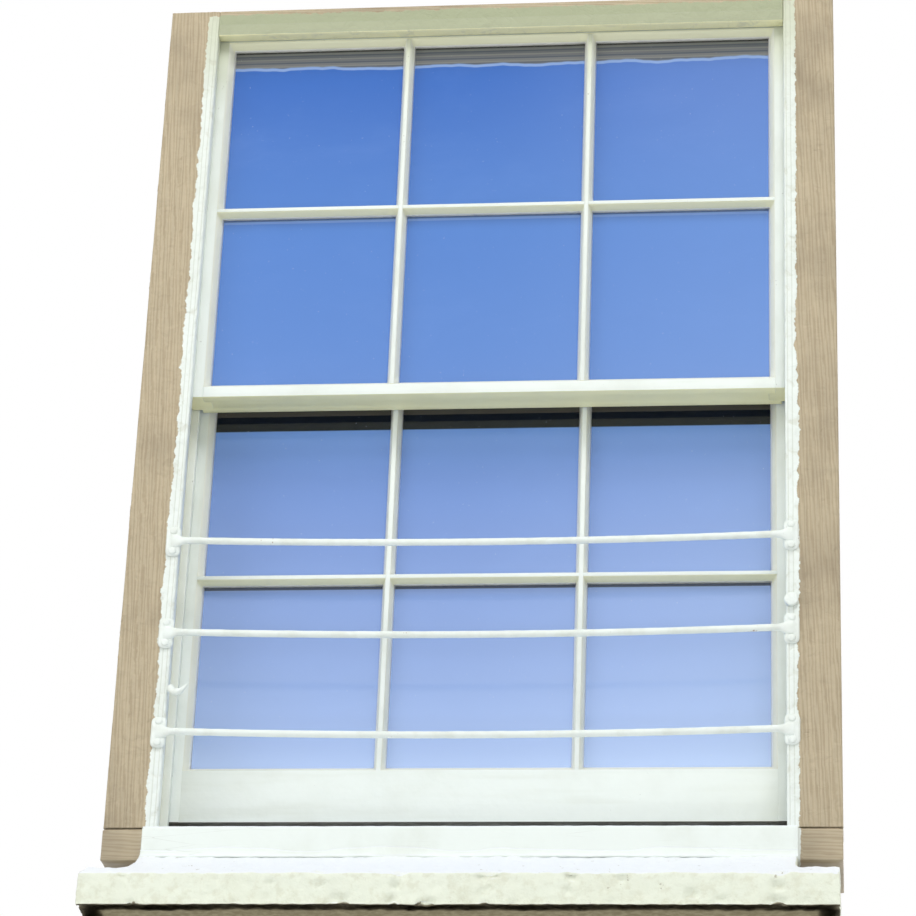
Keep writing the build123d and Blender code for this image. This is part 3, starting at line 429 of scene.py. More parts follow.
def eased(node, material, body, width, segments=2, sill=None):
    """A copy of a CAD node whose arrises are rounded as under many coats of paint.

    With sill, a point on the slope of the timber sill, the piece ends on that slope.
    """
    mesh, work = merged_copy(node)
    flat = math.radians(0.5)
    bmesh.ops.dissolve_limit(work, angle_limit=flat, verts=work.verts, edges=work.edges)
    if sill is not None:
        everything = work.verts[:] + work.edges[:] + work.faces[:]
        cut = bmesh.ops.bisect_plane(
            work, geom=everything, plane_co=sill, plane_no=(0, -SLOPE, 1), clear_inner=True
        )
        rim = [edge for edge in cut["geom_cut"] if isinstance(edge, bmesh.types.BMEdge)]
        bmesh.ops.edgeloop_fill(work, edges=rim)
        bmesh.ops.recalc_face_normals(work, faces=work.faces)
    work.to_mesh(mesh)
    work.free()
    piece = put("painted_" + node, mesh, material, body, [node])
    bevel = piece.modifiers.new("arris", "BEVEL")
    bevel.width = width
    bevel.segments = segments
    bevel.limit_method = "ANGLE"
    bevel.angle_limit = math.radians(35)
    bevel.harden_normals = True
    bevel.use_clamp_overlap = True


# Materials

# Dirt and wear, with painted light, painted shade and painted reflections, beside the colours that
# a user would change
TONES = {
    name: rgb(*values)
    for name, values in {
        "painted head shade": (196, 199, 166),
        "jamb beige": (234, 224, 190),
        "bare foot shade": (84, 76, 66),
        "painted underside light": (243, 239, 190),
        "chip": (120, 116, 104),
        "hollow": (196, 196, 176),
        "head underside shade": (160, 165, 132),
        "head top shade": (160, 166, 134),
        "quirk": (168, 172, 146),
        "pale fibre": (206, 190, 160),
        "weathered wood": (120, 108, 92),
        "sky-lit sill slope": (238, 242, 247),
        "crack": (150, 148, 134),
        "stone dirt": (214, 214, 190),
        "stone pit": (206, 204, 178),
        "sky-lit stone slope": (240, 243, 246),
        "raw stone": (178, 170, 150),
        "cloud": (150, 180, 238),
        "clear sky reflection": (80, 134, 208),
        "soffit reflection dark": (66, 66, 60),
        "soffit reflection pale": (124, 120, 102),
        "soffit reflection edge": (150, 178, 224),
        "rail shadow line": (26, 28, 28),
        "painted light below rail": (128, 176, 255),
        "rail shade": (92, 88, 78),
        "bar glint": (142, 172, 224),
        "bar shade": (44, 62, 92),
        "low bar shade": (38, 44, 52),
        "speck": (220, 226, 232),
        "putty underside": (244, 240, 196),
        "putty edge dirt": (208, 214, 192),
        "putty edge": (255, 255, 250),
        "rust": (146, 104, 72),
        "old rust": (112, 72, 48),
        "cotton": (226, 218, 196),
        "cotton shade": (188, 176, 148),
        "cotton dirt": (150, 138, 116),
    }.items()
}


class Nodes:
    """A node tree whose nodes are added and wired in short calls."""

    def __init__(self, tree):
        self.tree = tree
        tree.nodes.clear()

    def add(self, kind, links=None, **values):
        """Adds a node, sets its properties, and sets or links its inputs by name or number."""
        node = self.tree.nodes.new("ShaderNode" + kind)
        for key, value in values.items():
            setattr(node, key, value)
        for key, value in (links or {}).items():
            socket = node.inputs[key]
            if isinstance(value, bpy.types.NodeSocket):
                self.tree.links.new(value, socket)
            elif socket.type == "RGBA" and len(value) == 3:
                socket.default_value = (*value, 1)
            else:
                socket.default_value = value
        return node

    def span(self, value, low, high, out_low=0.0, out_high=1.0, smooth=True):
        kind = "SMOOTHSTEP" if smooth else "LINEAR"
        links = {0: value, 1: low, 2: high, 3: out_low, 4: out_high}
        return self.add("MapRange", links, interpolation_type=kind).outputs[0]

    def math(self, operation, first, second=0.0):
        return self.add("Math", {0: first, 1: second}, operation=operation).outputs[0]

    def plus(self, first, second):
        return self.math("ADD", first, second)

    def minus(self, first, second):
        return self.math("SUBTRACT", first, second)

    def times(self, first, second):
        return self.math("MULTIPLY", first, second)

    def larger(self, first, second):
        return self.math("MAXIMUM", first, second)

    def size(self, value):
        return self.math("ABSOLUTE", value)

    def mix(self, factor, first, second):
        """Two colours, each a socket, red, green and blue, or the name of a tone."""
        first, second = (TONES[c] if isinstance(c, str) else c for c in (first, second))
        return self.add("Mix", {0: factor, 6: first, 7: second}, data_type="RGBA").outputs[2]


class Finish(Nodes):
    """The shader nodes of one material, laid out on the object's own coordinates."""

    def __init__(self, name):
        self.material = bpy.data.materials.new(name)
        self.material.use_nodes = True
        super().__init__(self.material.node_tree)
        self.output = self.add("OutputMaterial")
        self.place = self.add("TexCoord").outputs["Object"]

    def stretched(self, scale):
        """Object coordinates times a scale on each axis."""
        return self.add("Mapping", {"Vector": self.place, "Scale": scale}).outputs[0]

    def noise(self, scale, detail=4.0, roughness=0.55, stretch=None, distortion=0.0):
        links = {
            "Vector": self.stretched(stretch) if stretch else self.place,
            "Scale": scale,
            "Detail": detail,
            "Roughness": roughness,
            "Distortion": distortion,
        }
        return self.add("TexNoise", links).outputs["Fac"]

    def patches(self, scale, detail, low, high, most=1.0, roughness=0.55, stretch=None):
        """Noise that is 0 below low and most above high."""
        return self.span(self.noise(scale, detail, roughness, stretch), low, high, 0, most)

    def uneven(self, value, scale, detail, reach, stretch=None):
        """A value plus noise times a reach."""
        return self.plus(value, self.times(self.noise(scale, detail, stretch=stretch), reach))

    def axis(self, name):
        return self.add("SeparateXYZ", {0: self.place}).outputs[name]

    def facing(self, name):
        """How far a face looks along an axis, from -1 to 1."""
        normal = self.add("NewGeometry").outputs["Normal"]
        return self.add("SeparateXYZ", {0: normal}).outputs[name]

    def painted_shade_above(self, colour, grime_and_shade, most):
        """Painted shade that grows with the height, as under a lintel."""
        return self.mix(self.span(self.axis("Z"), *SHADE_RISE, 0, most, smooth=False), colour, grime_and_shade)

    def bump(self, height, distance, strength=1.0, under=None):
        links = {"Height": height, "Distance": distance, "Strength": strength}
        if under is not None:
            links["Normal"] = under
        return self.add("Bump", links).outputs[0]

    def show(self, shader):
        self.tree.links.new(shader.outputs[0], self.output.inputs["Surface"])
        return self.material

    def surface(self, colour, roughness, normal, **values):
        links = {"Base Color": colour, "Roughness": roughness, "Normal": normal, **values}
        return self.show(self.add("BsdfPrincipled", links))


def finish(name, make, *values):
    """The material of that name, made once."""
    return bpy.data.materials.get(name) or make(name, *values)


def timber_colour(f, colours, along):
    """Colour and relief of aged softwood, its grain lines running along one axis."""
    stretch = {"x": (1.2, 26, 26), "z": (26, 26, 1.2)}[along]
    links = {"Vector": f.stretched(stretch), "Scale": 4.6, "Distortion": 7.5}
    links.update({"Detail": 4.0, "Detail Scale": 1.2})
    bands = f.add("TexWave", links, bands_direction="DIAGONAL").outputs["Fac"]
    fibre = f.noise(1, 4, stretch=tuple(9 * s for s in stretch))
    wood = f.mix(f.span(bands, 0.25, 0.95, 0, 0.42), colours.timber, colours.timber_dark)
    wood = f.mix(f.span(fibre, 0.35, 0.8, 0, 0.4), wood, "pale fibre")
    wood = f.mix(f.patches(5, 4, 0.45, 0.75, 0.45), wood, "weathered wood")
    return wood, fibre


def timber_finish(name, colours, along):
    f = Finish(name)
    wood, fibre = timber_colour(f, colours, along)
    return f.surface(wood, 0.8, f.bump(fibre, 0.0005, 0.6))


def paint_finish(name, colours, along, edge=None, dull=0.0, foot=False):
    """Old gloss paint with brush marks along one axis, dull patches, streaks and small chips, with
    painted shade that grows towards the head and painted light thrown up on faces that look down.

    With edge (x, z), the finish turns into bare timber beyond x to either side or above z. Dull
    mixes the whole face towards a beige, and foot makes faces that look down a dark bare timber
    with painted shade instead of the painted light.
    """
    f = Finish(name)
    brush = {"x": (5, 160, 160), "z": (160, 160, 5)}[along]
    streak = {"x": (3, 40, 40), "z": (45, 45, 3)}[along]
    colour = f.mix(f.patches(7, 5, 0.42, 0.75, 0.22), colours.paint, colours.grime_and_shade)
    colour = f.mix(f.patches(1, 3, 0.5, 0.8, 0.16, stretch=streak), colour, colours.grime_and_shade)
    # Painted shade: the paint greys as it rises towards the head
    colour = f.painted_shade_above(colour, colours.grime_and_shade, 0.16)
    # Painted shade under the head: a stronger grey-green from about 1.32 m up
    head_shade_height = f.uneven(f.axis("Z"), 1, 4, 0.02, (6, 60, 60))
    colour = f.mix(f.span(head_shade_height, 1.32, 1.48, 0, 0.62), colour, "painted head shade")
    # Dull mixes the whole face towards a beige
    if dull:
        colour = f.mix(dull, colour, "jamb beige")
    # Faces that look down: painted light thrown up from below, or with foot dark bare timber with
    # painted shade
    under = f.span(f.facing("Z"), *UNDERSIDE, 0.95, 0)
    colour = f.mix(under, colour, "bare foot shade" if foot else "painted underside light")
    chips = f.times(f.patches(310, 3, 0.70, 0.73, roughness=0.6), f.patches(9, 3, 0.52, 0.60))
    colour = f.mix(f.times(chips, 0.8), colour, "chip")
    normal = f.bump(f.noise(1, 4, stretch=brush), 0.00028, 0.55)
    normal = f.bump(f.noise(38, 3), 0.0016, 0.6, normal)
    normal = f.bump(chips, 0.0003, -0.6, normal)
    roughness = f.span(f.noise(24, 3), 0.3, 0.7, 0.32, 0.52)
    if edge:
        return lining_wear(f, colours, along, edge, colour, roughness, normal)
    return f.surface(colour, roughness, normal)


def lining_wear(f, colours, along, edge, colour, roughness, normal):
    """Outer linings: painted shade in the hollows of the paint, along the moulding's lines and on
    the head lining's undersides and top, and the ragged end of the paint.

    The paint ends where |x| or z, plus noise about its middle, passes the edge.
    """
    pits = f.noise(52, 5, 0.6, distortion=0.6)
    normal = f.bump(pits, 0.0045, 0.8, normal)
    # Painted shade: the low parts of the pits are greyed
    colour = f.mix(f.span(pits, 0.30, 0.46, 0.4, 0), colour, "hollow")
    place = f.uneven(f.size(f.axis("X")) if along == "z" else f.axis("Z"), 14, 3, 0.002)
    if along == "x":
        # Painted shade on the head lining's undersides and on its top above the upper quirk
        colour = f.mix(f.span(f.facing("Z"), *UNDERSIDE, 0, 0.8), colour, "head underside shade")
        above = QUIRKS["x"][1]
        colour = f.mix(f.span(place, above, above + 0.002, 0, 0.55), colour, "head top shade")
    for quirk in QUIRKS[along]:
        line = f.span(f.size(f.minus(place, quirk)), 0.0003, 0.0011, 1, 0)
        # Painted shade along each quirk line of the moulding, which the bump also sinks
        colour = f.mix(f.times(line, 0.3 if along == "z" else 0.6), colour, "quirk")
        normal = f.bump(line, 0.0012, -0.8, normal)
    ragged = f.times(f.minus(f.noise(55, 5, 0.65), 0.5), 0.016)
    ragged = f.plus(ragged, f.times(f.minus(f.noise(8, 2), 0.5), 0.012))
    side = f.minus(f.plus(f.size(f.axis("X")), ragged), edge[0])
    head = f.minus(f.plus(f.axis("Z"), ragged), edge[1])
    bare = f.span(f.larger(side, head), -0.0004, 0.0006)
    wood, grain = timber_colour(f, colours, along)
    colour = f.mix(bare, colour, wood)
    roughness = f.add("Mix", {0: bare, 2: roughness, 3: 0.82}).outputs[0]
    normal = f.bump(f.minus(1.0, bare), 0.0007, 0.9, normal)
    normal = f.bump(f.times(grain, bare), 0.0004, 0.6, normal)
    return f.surface(colour, roughness, normal)


def board_paint(along):
    """The paint of all plain boards that run along an axis."""
    name = {"x": "level_paint", "z": "upright_paint"}[along]
    return finish(name, paint_finish, settings()[0], along)


def sill_finish(name, colours):
    """The paint of the timber sill: bluish white painted sky light on the weathered slope, with
    hairline cracks.
    """
    f = Finish(name)
    # Painted sky light: faces that look up turn bluish white
    colour = f.mix(f.span(f.facing("Z"), 0.3, 0.9), colours.paint, "sky-lit sill slope")
    colour = f.mix(f.patches(11, 5, 0.42, 0.78, 0.2), colour, colours.grime_and_shade)
    cells = {"Vector": f.stretched((4, 55, 55)), "Scale": 1.0, "Randomness": 1.0}
    crack = f.add("TexVoronoi", cells, feature="DISTANCE_TO_EDGE").outputs["Distance"]
    crack = f.times(f.span(crack, 0.0, 0.012, 1, 0), f.patches(6, 4, 0.5, 0.62))
    colour = f.mix(f.times(crack, 0.22), colour, "crack")
    normal = f.bump(f.noise(1, 4, stretch=(6, 120, 120)), 0.0003, 0.5)
    normal = f.bump(f.noise(45, 3), 0.0012, 0.5, normal)
    normal = f.bump(crack, 0.0004, -0.5, normal)
    horn = f.uneven(f.size(f.axis("X")), 50, 4, 0.008)
    bare = f.larger(f.span(f.axis("Y"), 0.1405, 0.1412), f.span(horn, 0.4575, 0.4585))
    wood, _ = timber_colour(f, colours, "x")
    return f.surface(f.mix(bare, colour, wood), 0.42, normal)


def stone_finish(name, colours):
    """Thick masonry paint on rough stone: creamy, pitted, with bare spots on arrises and ends, and
    bluish white painted sky light on faces that look up.
    """
    f = Finish(name)
    colour = f.mix(f.patches(14, 5, 0.4, 0.75, 0.25), colours.stone, "stone dirt")
    colour = f.mix(f.span(f.noise(58, 5, 0.62), 0.34, 0.52, 0.34, 0), colour, "stone pit")
    facing = f.facing("Z")
    # Painted sky light: faces that look up turn bluish white
    colour = f.mix(f.span(facing, 0.3, 0.8), colour, "sky-lit stone slope")
    back = f.span(f.uneven(f.axis("Y"), 40, 4, 0.02), -0.0125, -0.0095)
    under = f.span(facing, -0.8, -0.5, 1, 0)
    ends = f.span(f.uneven(f.size(f.axis("X")), 60, 4, 0.004), 0.5095, 0.5110)
    chips = f.times(f.patches(75, 4, 0.66, 0.69, roughness=0.6), f.patches(6, 3, 0.5, 0.62))
    bare = f.larger(f.larger(f.larger(back, under), ends), f.times(chips, 0.7))
    raw = f.mix(f.patches(110, 4, 0.35, 0.7), colours.stone_dark, "raw stone")
    colour = f.mix(bare, colour, raw)
    normal = f.bump(f.noise(46, 6, 0.62), 0.0042, 0.8)
    normal = f.bump(f.noise(420, 3), 0.0004, 0.5, normal)
    return f.surface(colour, f.span(bare, 0, 1, 0.55, 0.9), normal)


def glass_finish(name, colours, sash, top, bars):
    """Window glass with a painted reflection of the sky: deep blue high up, pale low down, faint
    painted cloud reflections, and strips of painted reflection and painted shade below the rail and
    the bars.

    The blue at height z is mixed by ((z - 0.27) / 1.2) to the power 0.37, less up to 0.13 to the
    right. A strip ends between two distances below the rail's or the bar's lower edge.
    """
    f = Finish(name)
    height = f.axis("Z")
    # Painted sky reflection: the blue deepens upwards and pales to the right
    rise = f.math("POWER", f.span(height, 0.27, 1.47, 0, 1, smooth=False), 0.37)
    rise = f.minus(rise, f.span(f.axis("X"), -0.1, 0.42, 0, 0.13))
    colour = f.mix(rise, colours.sky_reflection_low, colours.sky_reflection_high)
    # Painted reflection of clouds
    cloud = f.noise(3.2, 5, 0.6, stretch=(1, 1, 1.8), distortion=0.4)
    colour = f.mix(f.span(cloud, 0.45, 0.78, 0, 0.11), colour, "cloud")
    # Painted reflection of clear sky, a deeper blue at middle heights
    clear = f.times(f.span(height, 0.55, 0.95, 0, 0.45), f.span(height, 1.1, 1.45, 1, 0))
    plain = colour = f.mix(clear, colour, "clear sky reflection")
    drop, below = f.minus(top, height), f.minus(bars, height)
    if sash == "upper":
        # Upper glass: a painted reflection of the brick soffit in bands with a pale wavy edge, and
        # a painted shadow line right under the rail
        wobble = f.minus(f.noise(11, 3, stretch=(1, 1, 0.3)), 0.5)
        edge = f.plus(drop, f.times(wobble, 0.018))
        bands = f.math("SINE", f.times(drop, 560.0))
        finer = f.math("SINE", f.plus(f.times(drop, 1490.0), f.times(wobble, 4.0)))
        bands = f.plus(f.times(bands, 0.6), f.times(finer, 0.4))
        tone = f.mix(f.span(bands, -1, 1), "soffit reflection dark", "soffit reflection pale")
        rail_reflection_and_shade = (
            (edge, 0.0335, 0.0355, 0.75, "soffit reflection edge"),
            (edge, 0.028, 0.031, 0.88, tone),
            (drop, 0.0015, 0.003, 0.9, "rail shadow line"),
        )
        # Painted glint and painted shade in lines below the upper glazing bars
        bar_reflection_and_shade = ((0.0062, 0.0072, 0.5, "bar glint"), (0.0022, 0.0030, 0.7, "bar shade"))
    else:
        # Lower glass: painted light below the rail, a painted dark strip of reflection and shade,
        # and a painted shade line under the rail
        rail_reflection_and_shade = (
            (drop, 0.05, 0.13, 0.4, "painted light below rail"),
            (drop, 0.0440, 0.0460, 0.985, colours.glass_shade),
            (drop, 0.0200, 0.0212, 0.9, "rail shade"),
        )
        # A painted shade line below the lower glazing bars
        bar_reflection_and_shade = ((0.0035, 0.0048, 0.9, "low bar shade"),)
    for where, low, high, most, strip in rail_reflection_and_shade:
        colour = f.mix(f.span(where, low, high, most, 0), colour, strip)
    for low, high, most, strip in bar_reflection_and_shade:
        line = f.times(f.span(below, low, high, most, 0), f.span(below, -0.01, -0.009))
        colour = f.mix(line, colour, strip)
    # The strips are painted on the street side only; the room side keeps the painted sky reflection
    colour = f.mix(f.span(f.facing("Y"), -0.5, -0.4), colour, plain)
    colour = f.mix(f.patches(260, 2, 0.74, 0.78, 0.3), colour, "speck")
    return f.surface(colour, 0.04, f.bump(f.noise(7, 2), 0.0016, 0.35), IOR=1.5)


def putty_finish(name, colours, face, glass):
    """Painted putty, whiter where the paint's edge lies on the glass, greener grey on the slope
    away from it, with painted shade towards the head and painted light on faces that look down.
    """
    f = Finish(name)
    colour = f.mix(f.patches(30, 4, 0.4, 0.75, 0.15), colours.putty, colours.grime_and_shade)
    # Painted shade: the putty greys as it rises towards the head
    colour = f.painted_shade_above(colour, colours.grime_and_shade, 0.14)
    # Painted light thrown up from below on faces that look down
    colour = f.mix(f.span(f.facing("Z"), -0.6, -0.2, 0.9, 0), colour, "putty underside")
    edge = (glass - 0.32 * (glass - face), glass - 0.22 * (glass - face))
    # The putty's slope away from the glass is mixed towards a greener grey
    colour = f.mix(f.span(f.axis("Y"), *edge, 0.4, 0), colour, "putty edge dirt")
    colour = f.mix(f.span(f.axis("Y"), *edge, 0, 0.9), colour, "putty edge")
    return f.surface(colour, 0.42, f.bump(f.noise(90, 4), 0.0009, 0.5))


def iron_paint_finish(name, colours):
    """White paint on iron, with small spots of rust."""
    f = Finish(name)
    colour = f.mix(f.patches(40, 4, 0.4, 0.75, 0.2), colours.paint, colours.grime_and_shade)
    rust = f.times(f.patches(190, 4, 0.66, 0.70, roughness=0.6), f.patches(14, 3, 0.52, 0.62))
    colour = f.mix(f.times(rust, 0.75), colour, "rust")
    return f.surface(colour, 0.38, f.bump(f.noise(120, 4), 0.0009, 0.6))


def cast_iron_finish(name, dark, pale, rough):
    """Grainy cast iron between two greys, with old rust."""
    f = Finish(name)
    colour = f.mix(f.patches(60, 5, 0.35, 0.75), dark, pale)
    colour = f.mix(f.patches(17, 4, 0.55, 0.8, 0.5), colour, "old rust")
    return f.surface(colour, rough, f.bump(f.noise(420, 4), 0.0006, 0.6), Metallic=0.55)


def bright_finish(name, dark, pale, rough):
    """Bare metal, handled and unevenly dull."""
    f = Finish(name)
    colour = f.mix(f.patches(90, 5, 0.35, 0.7), dark, pale)
    rough = f.span(f.noise(150, 4), 0.3, 0.7, rough, rough + 0.18)
    return f.surface(colour, rough, f.bump(f.noise(300, 3), 0.0002, 0.4), Metallic=1.0)


def brass():
    return finish("aged_brass", bright_finish, rgb(142, 118, 72), rgb(186, 160, 106), 0.30)


def cord_finish(name):
    """Cotton, dirty in long patches."""
    f = Finish(name)
    colour = f.mix(f.patches(500, 3, 0.35, 0.7), "cotton", "cotton shade")
    colour = f.mix(f.patches(12, 3, 0.5, 0.8, 0.5), colour, "cotton dirt")
    return f.surface(colour, 0.92, f.bump(f.noise(900, 3), 0.0003, 0.6))


# Operators

class Undoable:
    """What all the operators share."""

    bl_options = {"REGISTER", "UNDO"}


class SASHWINDOW_OT_stone_sill(Undoable, bpy.types.Operator):
    """Rough stone sill under many coats of paint."""

    bl_idname = "sash_window.stone_sill"
    bl_label = "Stone Sill"

    def execute(self, context):
        colours, wear, _ = settings()

        def hollows(points):
            chipped = smooth_step(0.45, 1.0, ripple(points, 0.05, 5, 3))
            chipped = chipped * smooth_step(-0.128, -0.137, points[:, 1])
            rough = 0.6 * hollow(points, 0.11, 3) + 0.7 * hollow(points, 0.026, 4, 5)
            return wear.stone_lump * (rough + 1.6 * chipped)

        mesh = inside(worn(cast_copy("stone_sill", 0.0045), hollows), *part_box("stone_sill"))
        paint = finish("masonry_paint", stone_finish, colours)
        put("stone_sill_rough", mesh, paint, "frame", ["stone_sill"])
        return {"FINISHED"}


class SASHWINDOW_OT_timber_sill(Undoable, bpy.types.Operator):
    """Timber sill with a worn nose, and the fillet of painted mortar where it meets the stone."""

    bl_idname = "sash_window.timber_sill"
    bl_label = "Timber Sill"

    def execute(self, context):
        colours, wear, _ = settings()
        low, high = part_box("timber_sill")
        mesh = cast_copy("timber_sill", 0.004)
        worn(mesh, lambda points: lumps(points, wear.lump * 0.5, 11, 0.03, 0.16))
        inside(mesh, low, high)
        paint = finish("sill_paint", sill_finish, colours)
        put("timber_sill_worn", mesh, paint, "frame", ["timber_sill"])
        put("sill_fillet", self.fillet(low.y, low.z), paint, "frame")
        return {"FINISHED"}

    def fillet(self, face, seat):
        """Mortar run along x: a quarter round whose reach and rise wander along it, and its back.

        Point k of the round lies at reach (1 - sin a_k) before the face of the timber, and at
        rise (1 - cos a_k) above its foot.
        """
        x = np.linspace(-0.4515, 0.4515, 420)
        points = grid(x, 0, 0)
        reach = 0.0075 + 0.0022 * ripple(points, 0.09, 21, 4)
        rise = 0.0125 + 0.004 * ripple(points, 0.13, 22, 4)
        angle = np.linspace(0, np.pi / 2, 7)
        foot, back = seat - 0.0015, face + 0.003
        front = face - reach[:, None] * (1 - np.sin(angle))
        arc = grid(x[:, None], front, foot + rise[:, None] * (1 - np.cos(angle)))
        rest = ((back, foot + rise), (back, seat - 0.003), (face - reach, seat - 0.004))
        inner = np.stack([grid(x, y, z) for y, z in rest], 1)
        return outward(loft_mesh("fillet", np.concatenate([arc, inner], 1)))


class SASHWINDOW_OT_outer_linings(Undoable, bpy.types.Operator):
    """Outer linings under lumpy paint, bare towards their outer edges."""

    bl_idname = "sash_window.outer_linings"
    bl_label = "Outer Linings"

    def execute(self, context):
        colours, wear, _ = settings()
        edge = (wear.paint_edge, wear.paint_top)
        upright = finish("lining_paint", paint_finish, colours, "z", edge)
        level = finish("head_paint", paint_finish, colours, "x", edge)
        low, high = np.array(LINING_LOW), np.array(LINING_HIGH)
        section = outline(rectangle(low, high), [0.003, 0.0008, 0.0008, 0.001], 0.0021)
        foot = low[2] + section[:, 1] * SLOPE
        z = foot + np.linspace(0, 1, 560)[:, None] * (high[2] - foot)
        for side, seed, amount in (("left", 31, 1.6), ("right", 37, 1.0)):
            sign = SIDES[side]

            def depth(points):
                face = smooth_step(0.0035, 0.0005, points[:, 1])
                run = smooth_step(1.46, 1.2, points[:, 2])
                paint = lumps(points, wear.lump * amount, seed, 0.014, 0.05)
                return paint * face * (0.35 + 0.65 * run)

            rings = grid(sign * section[:, 0], section[:, 1], z)
            mesh = worn(outward(loft_mesh("lining", rings)), depth)
            near, far = sorted((sign * low[0], sign * high[0]))
            inside(mesh, (near, low[1], low[2] - 0.001), (far, high[1], high[2]))
            name, node = f"outer_lining_painted_{side}", f"outer_lining_{side}"
            put(name, mesh, upright, "frame", [node])
        eased("outer_head_lining", level, "frame", 0.0014, 3)
        return {"FINISHED"}


class SASHWINDOW_OT_box_frame(Undoable, bpy.types.Operator):
    """Pulley stiles, pocket pieces, inner linings and the bare timber of the boxes."""

    bl_idname = "sash_window.box_frame"
    bl_label = "Box Frame"

    def execute(self, context):
        colours, wear, _ = settings()
        upright, level = board_paint("z"), board_paint("x")
        # Pulley stiles and pocket pieces are mixed almost wholly towards a beige
        jamb = finish("jamb_paint", paint_finish, colours, "z", None, 0.95)
        for node in ("pulley_stile_left", "pulley_stile_right", "pocket_pieces"):
            eased(node, jamb, "frame", wear.arris * 0.5)
        for node in ("inner_lining_left", "inner_lining_right"):
            eased(node, upright, "frame", wear.arris)
        eased("inner_head_lining", level, "frame", wear.arris)
        for node, along in (("head_board", "x"), ("back_linings", "z"), ("parting_slips", "z")):
            timber = finish("bare_timber_" + along, timber_finish, colours, along)
            dress(node, timber)
        return {"FINISHED"}


class SASHWINDOW_OT_beads(Undoable, bpy.types.Operator):
    """Parting beads and staff beads."""

    bl_idname = "sash_window.beads"
    bl_label = "Beads"

    def execute(self, context):
        arris = settings()[1].arris
        upright, level = board_paint("z"), board_paint("x")
        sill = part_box("timber_sill")[1]
        for kind in ("parting_bead", "staff_bead"):
            for side in SIDES:
                foot = (0, sill.y, sill.z) if kind == "staff_bead" else None
                eased(f"{kind}_{side}", upright, "frame", arris, 2, foot)
            eased(f"{kind}_head", level, "frame", arris)
        eased("staff_bead_sill", level, "frame", arris)
        return {"FINISHED"}


class SASHWINDOW_OT_sashes(Undoable, bpy.types.Operator):
    """Stiles, rails and glazing bars of both sashes."""

    bl_idname = "sash_window.sashes"
    bl_label = "Sashes"

    def execute(self, context):
        colours, wear, _ = settings()
        upright, level = board_paint("z"), board_paint("x")
        # Bottom rail and lower stiles: faces that look down are dark, bare timber with painted
        # shade of the gap over the sill
        bare_shaded_rail = finish("rail_paint", paint_finish, colours, "x", None, 0.0, True)
        bare_shaded_stile = finish("stile_paint", paint_finish, colours, "z", None, 0.0, True)
        arris = wear.arris * 0.8
        for sash, rail in (("upper", "top_rail"), ("lower", "bottom_rail")):
            body = sash + "_sash"
            stile = bare_shaded_stile if sash == "lower" else upright
            for part in ("stile_left", "stile_right"):
                eased(f"{body}_{part}", stile, body, arris)
            eased(f"{body}_upright_bars", upright, body, arris)
            for part in (rail, "meeting_rail", "cross_bars"):
                paint = bare_shaded_rail if part == "bottom_rail" else level
                eased(f"{body}_{part}", paint, body, arris)
        return {"FINISHED"}


class SASHWINDOW_OT_panes(Undoable, bpy.types.Operator):
    """Glass of both sashes."""

    bl_idname = "sash_window.panes"
    bl_label = "Panes"

    def execute(self, context):
        colours = settings()[0]
        for sash in SASHES:
            bars = glass_bottom(sash) + PANE[1]
            top = glass_bottom(sash) + 2 * PANE[1] + BAR
            glass = finish(sash + "_glass", glass_finish, colours, sash, top, bars)
            dress(f"{sash}_sash_panes", glass)
        return {"FINISHED"}


class SASHWINDOW_OT_putty(Undoable, bpy.types.Operator):
    """Putty run round each pane, tooled by hand and painted."""

    bl_idname = "sash_window.putty"
    bl_label = "Putty"

    def execute(self, context):
        for sash in SASHES:
            body = sash + "_sash"
            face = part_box(f"{body}_stile_left")[0].y + 0.0008
            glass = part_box(f"{body}_panes")[0].y
            meshes = []
            for row in range(2):
                for column in range(3):
                    left = (column - 1.5) * PANE[0] + (column - 1) * BAR
                    foot = glass_bottom(sash) + row * (PANE[1] + BAR)
                    upper_edge = SASH_REBATE if sash == "upper" else 0
                    margins = [
                        SASH_REBATE if column == 0 else BAR_REBATE,
                        SASH_REBATE if column == 2 else BAR_REBATE,
                        SASH_REBATE if row == 0 else BAR_REBATE,
                        upper_edge if row == 1 else BAR_REBATE,
                    ]
                    sides = (left, left + PANE[0], foot, foot + PANE[1])
                    meshes.append(putty_run(sides, margins, face, glass, 50 + 7 * row + column))
            paint = finish(f"{sash}_painted_putty", putty_finish, settings()[0], face, glass)
            mesh = joined("putty", meshes)
            put(f"{sash}_putty_run", mesh, paint, body, [f"{body}_putty"])
        return {"FINISHED"}


def putty_run(sides, margins, face, glass, seed):
    """Putty round a pane: a point of the section lies between the sight line and the rebate's edge.

    Along the run, s goes round the pane's sides. The sight rectangle S(s) and the rebate rectangle
    R(s) share s, and section point k is S + w_k (R - S) at depth d_k. Without a margin at the top,
    the run stops at both upper corners.
    """
    left, right, foot, top = sides
    ml, mr, mb, mt = margins
    inner = np.array([(left, top), (left, foot), (right, foot), (right, top)])
    outer = inner + np.array([(-ml, mt), (-ml, -mb), (mr, -mb), (mr, mt)])
    whole = mt > 0
    ends = np.arange(5 if whole else 4)
    s = np.unique(np.concatenate([np.linspace(0, ends[-1], 24 * ends[-1] + 1), ends]))
    if whole:
        s = s[:-1]
    sight, rebate = (
        np.stack([np.interp(s, ends, np.append(c, c[0])[: len(ends)]) for c in corners.T], -1)
        for corners in (inner, outer)
    )
    share = np.array([0.06, 0.36, 0.66, 0.93, 1.0, 1.0])
    level = np.array([0.0, 0.33, 0.68, 0.95, 1.0, 0.0])
    crown = np.array([0, 0.03, 0.05, 0.02, 0, 0])
    wave = ripple(grid(*sight.T, 0), 0.06, seed, 3)[:, None]
    w = share + 0.35 * crown * wave
    d = level + crown * (1 + 0.5 * wave)
    flat = sight[:, None] + w[:, :, None] * (rebate - sight)[:, None]
    rings = grid(flat[..., 0], glass + np.clip(d, 0, 1) * (face - glass), flat[..., 1])
    return outward(loft_mesh("run", rings, loop=whole))


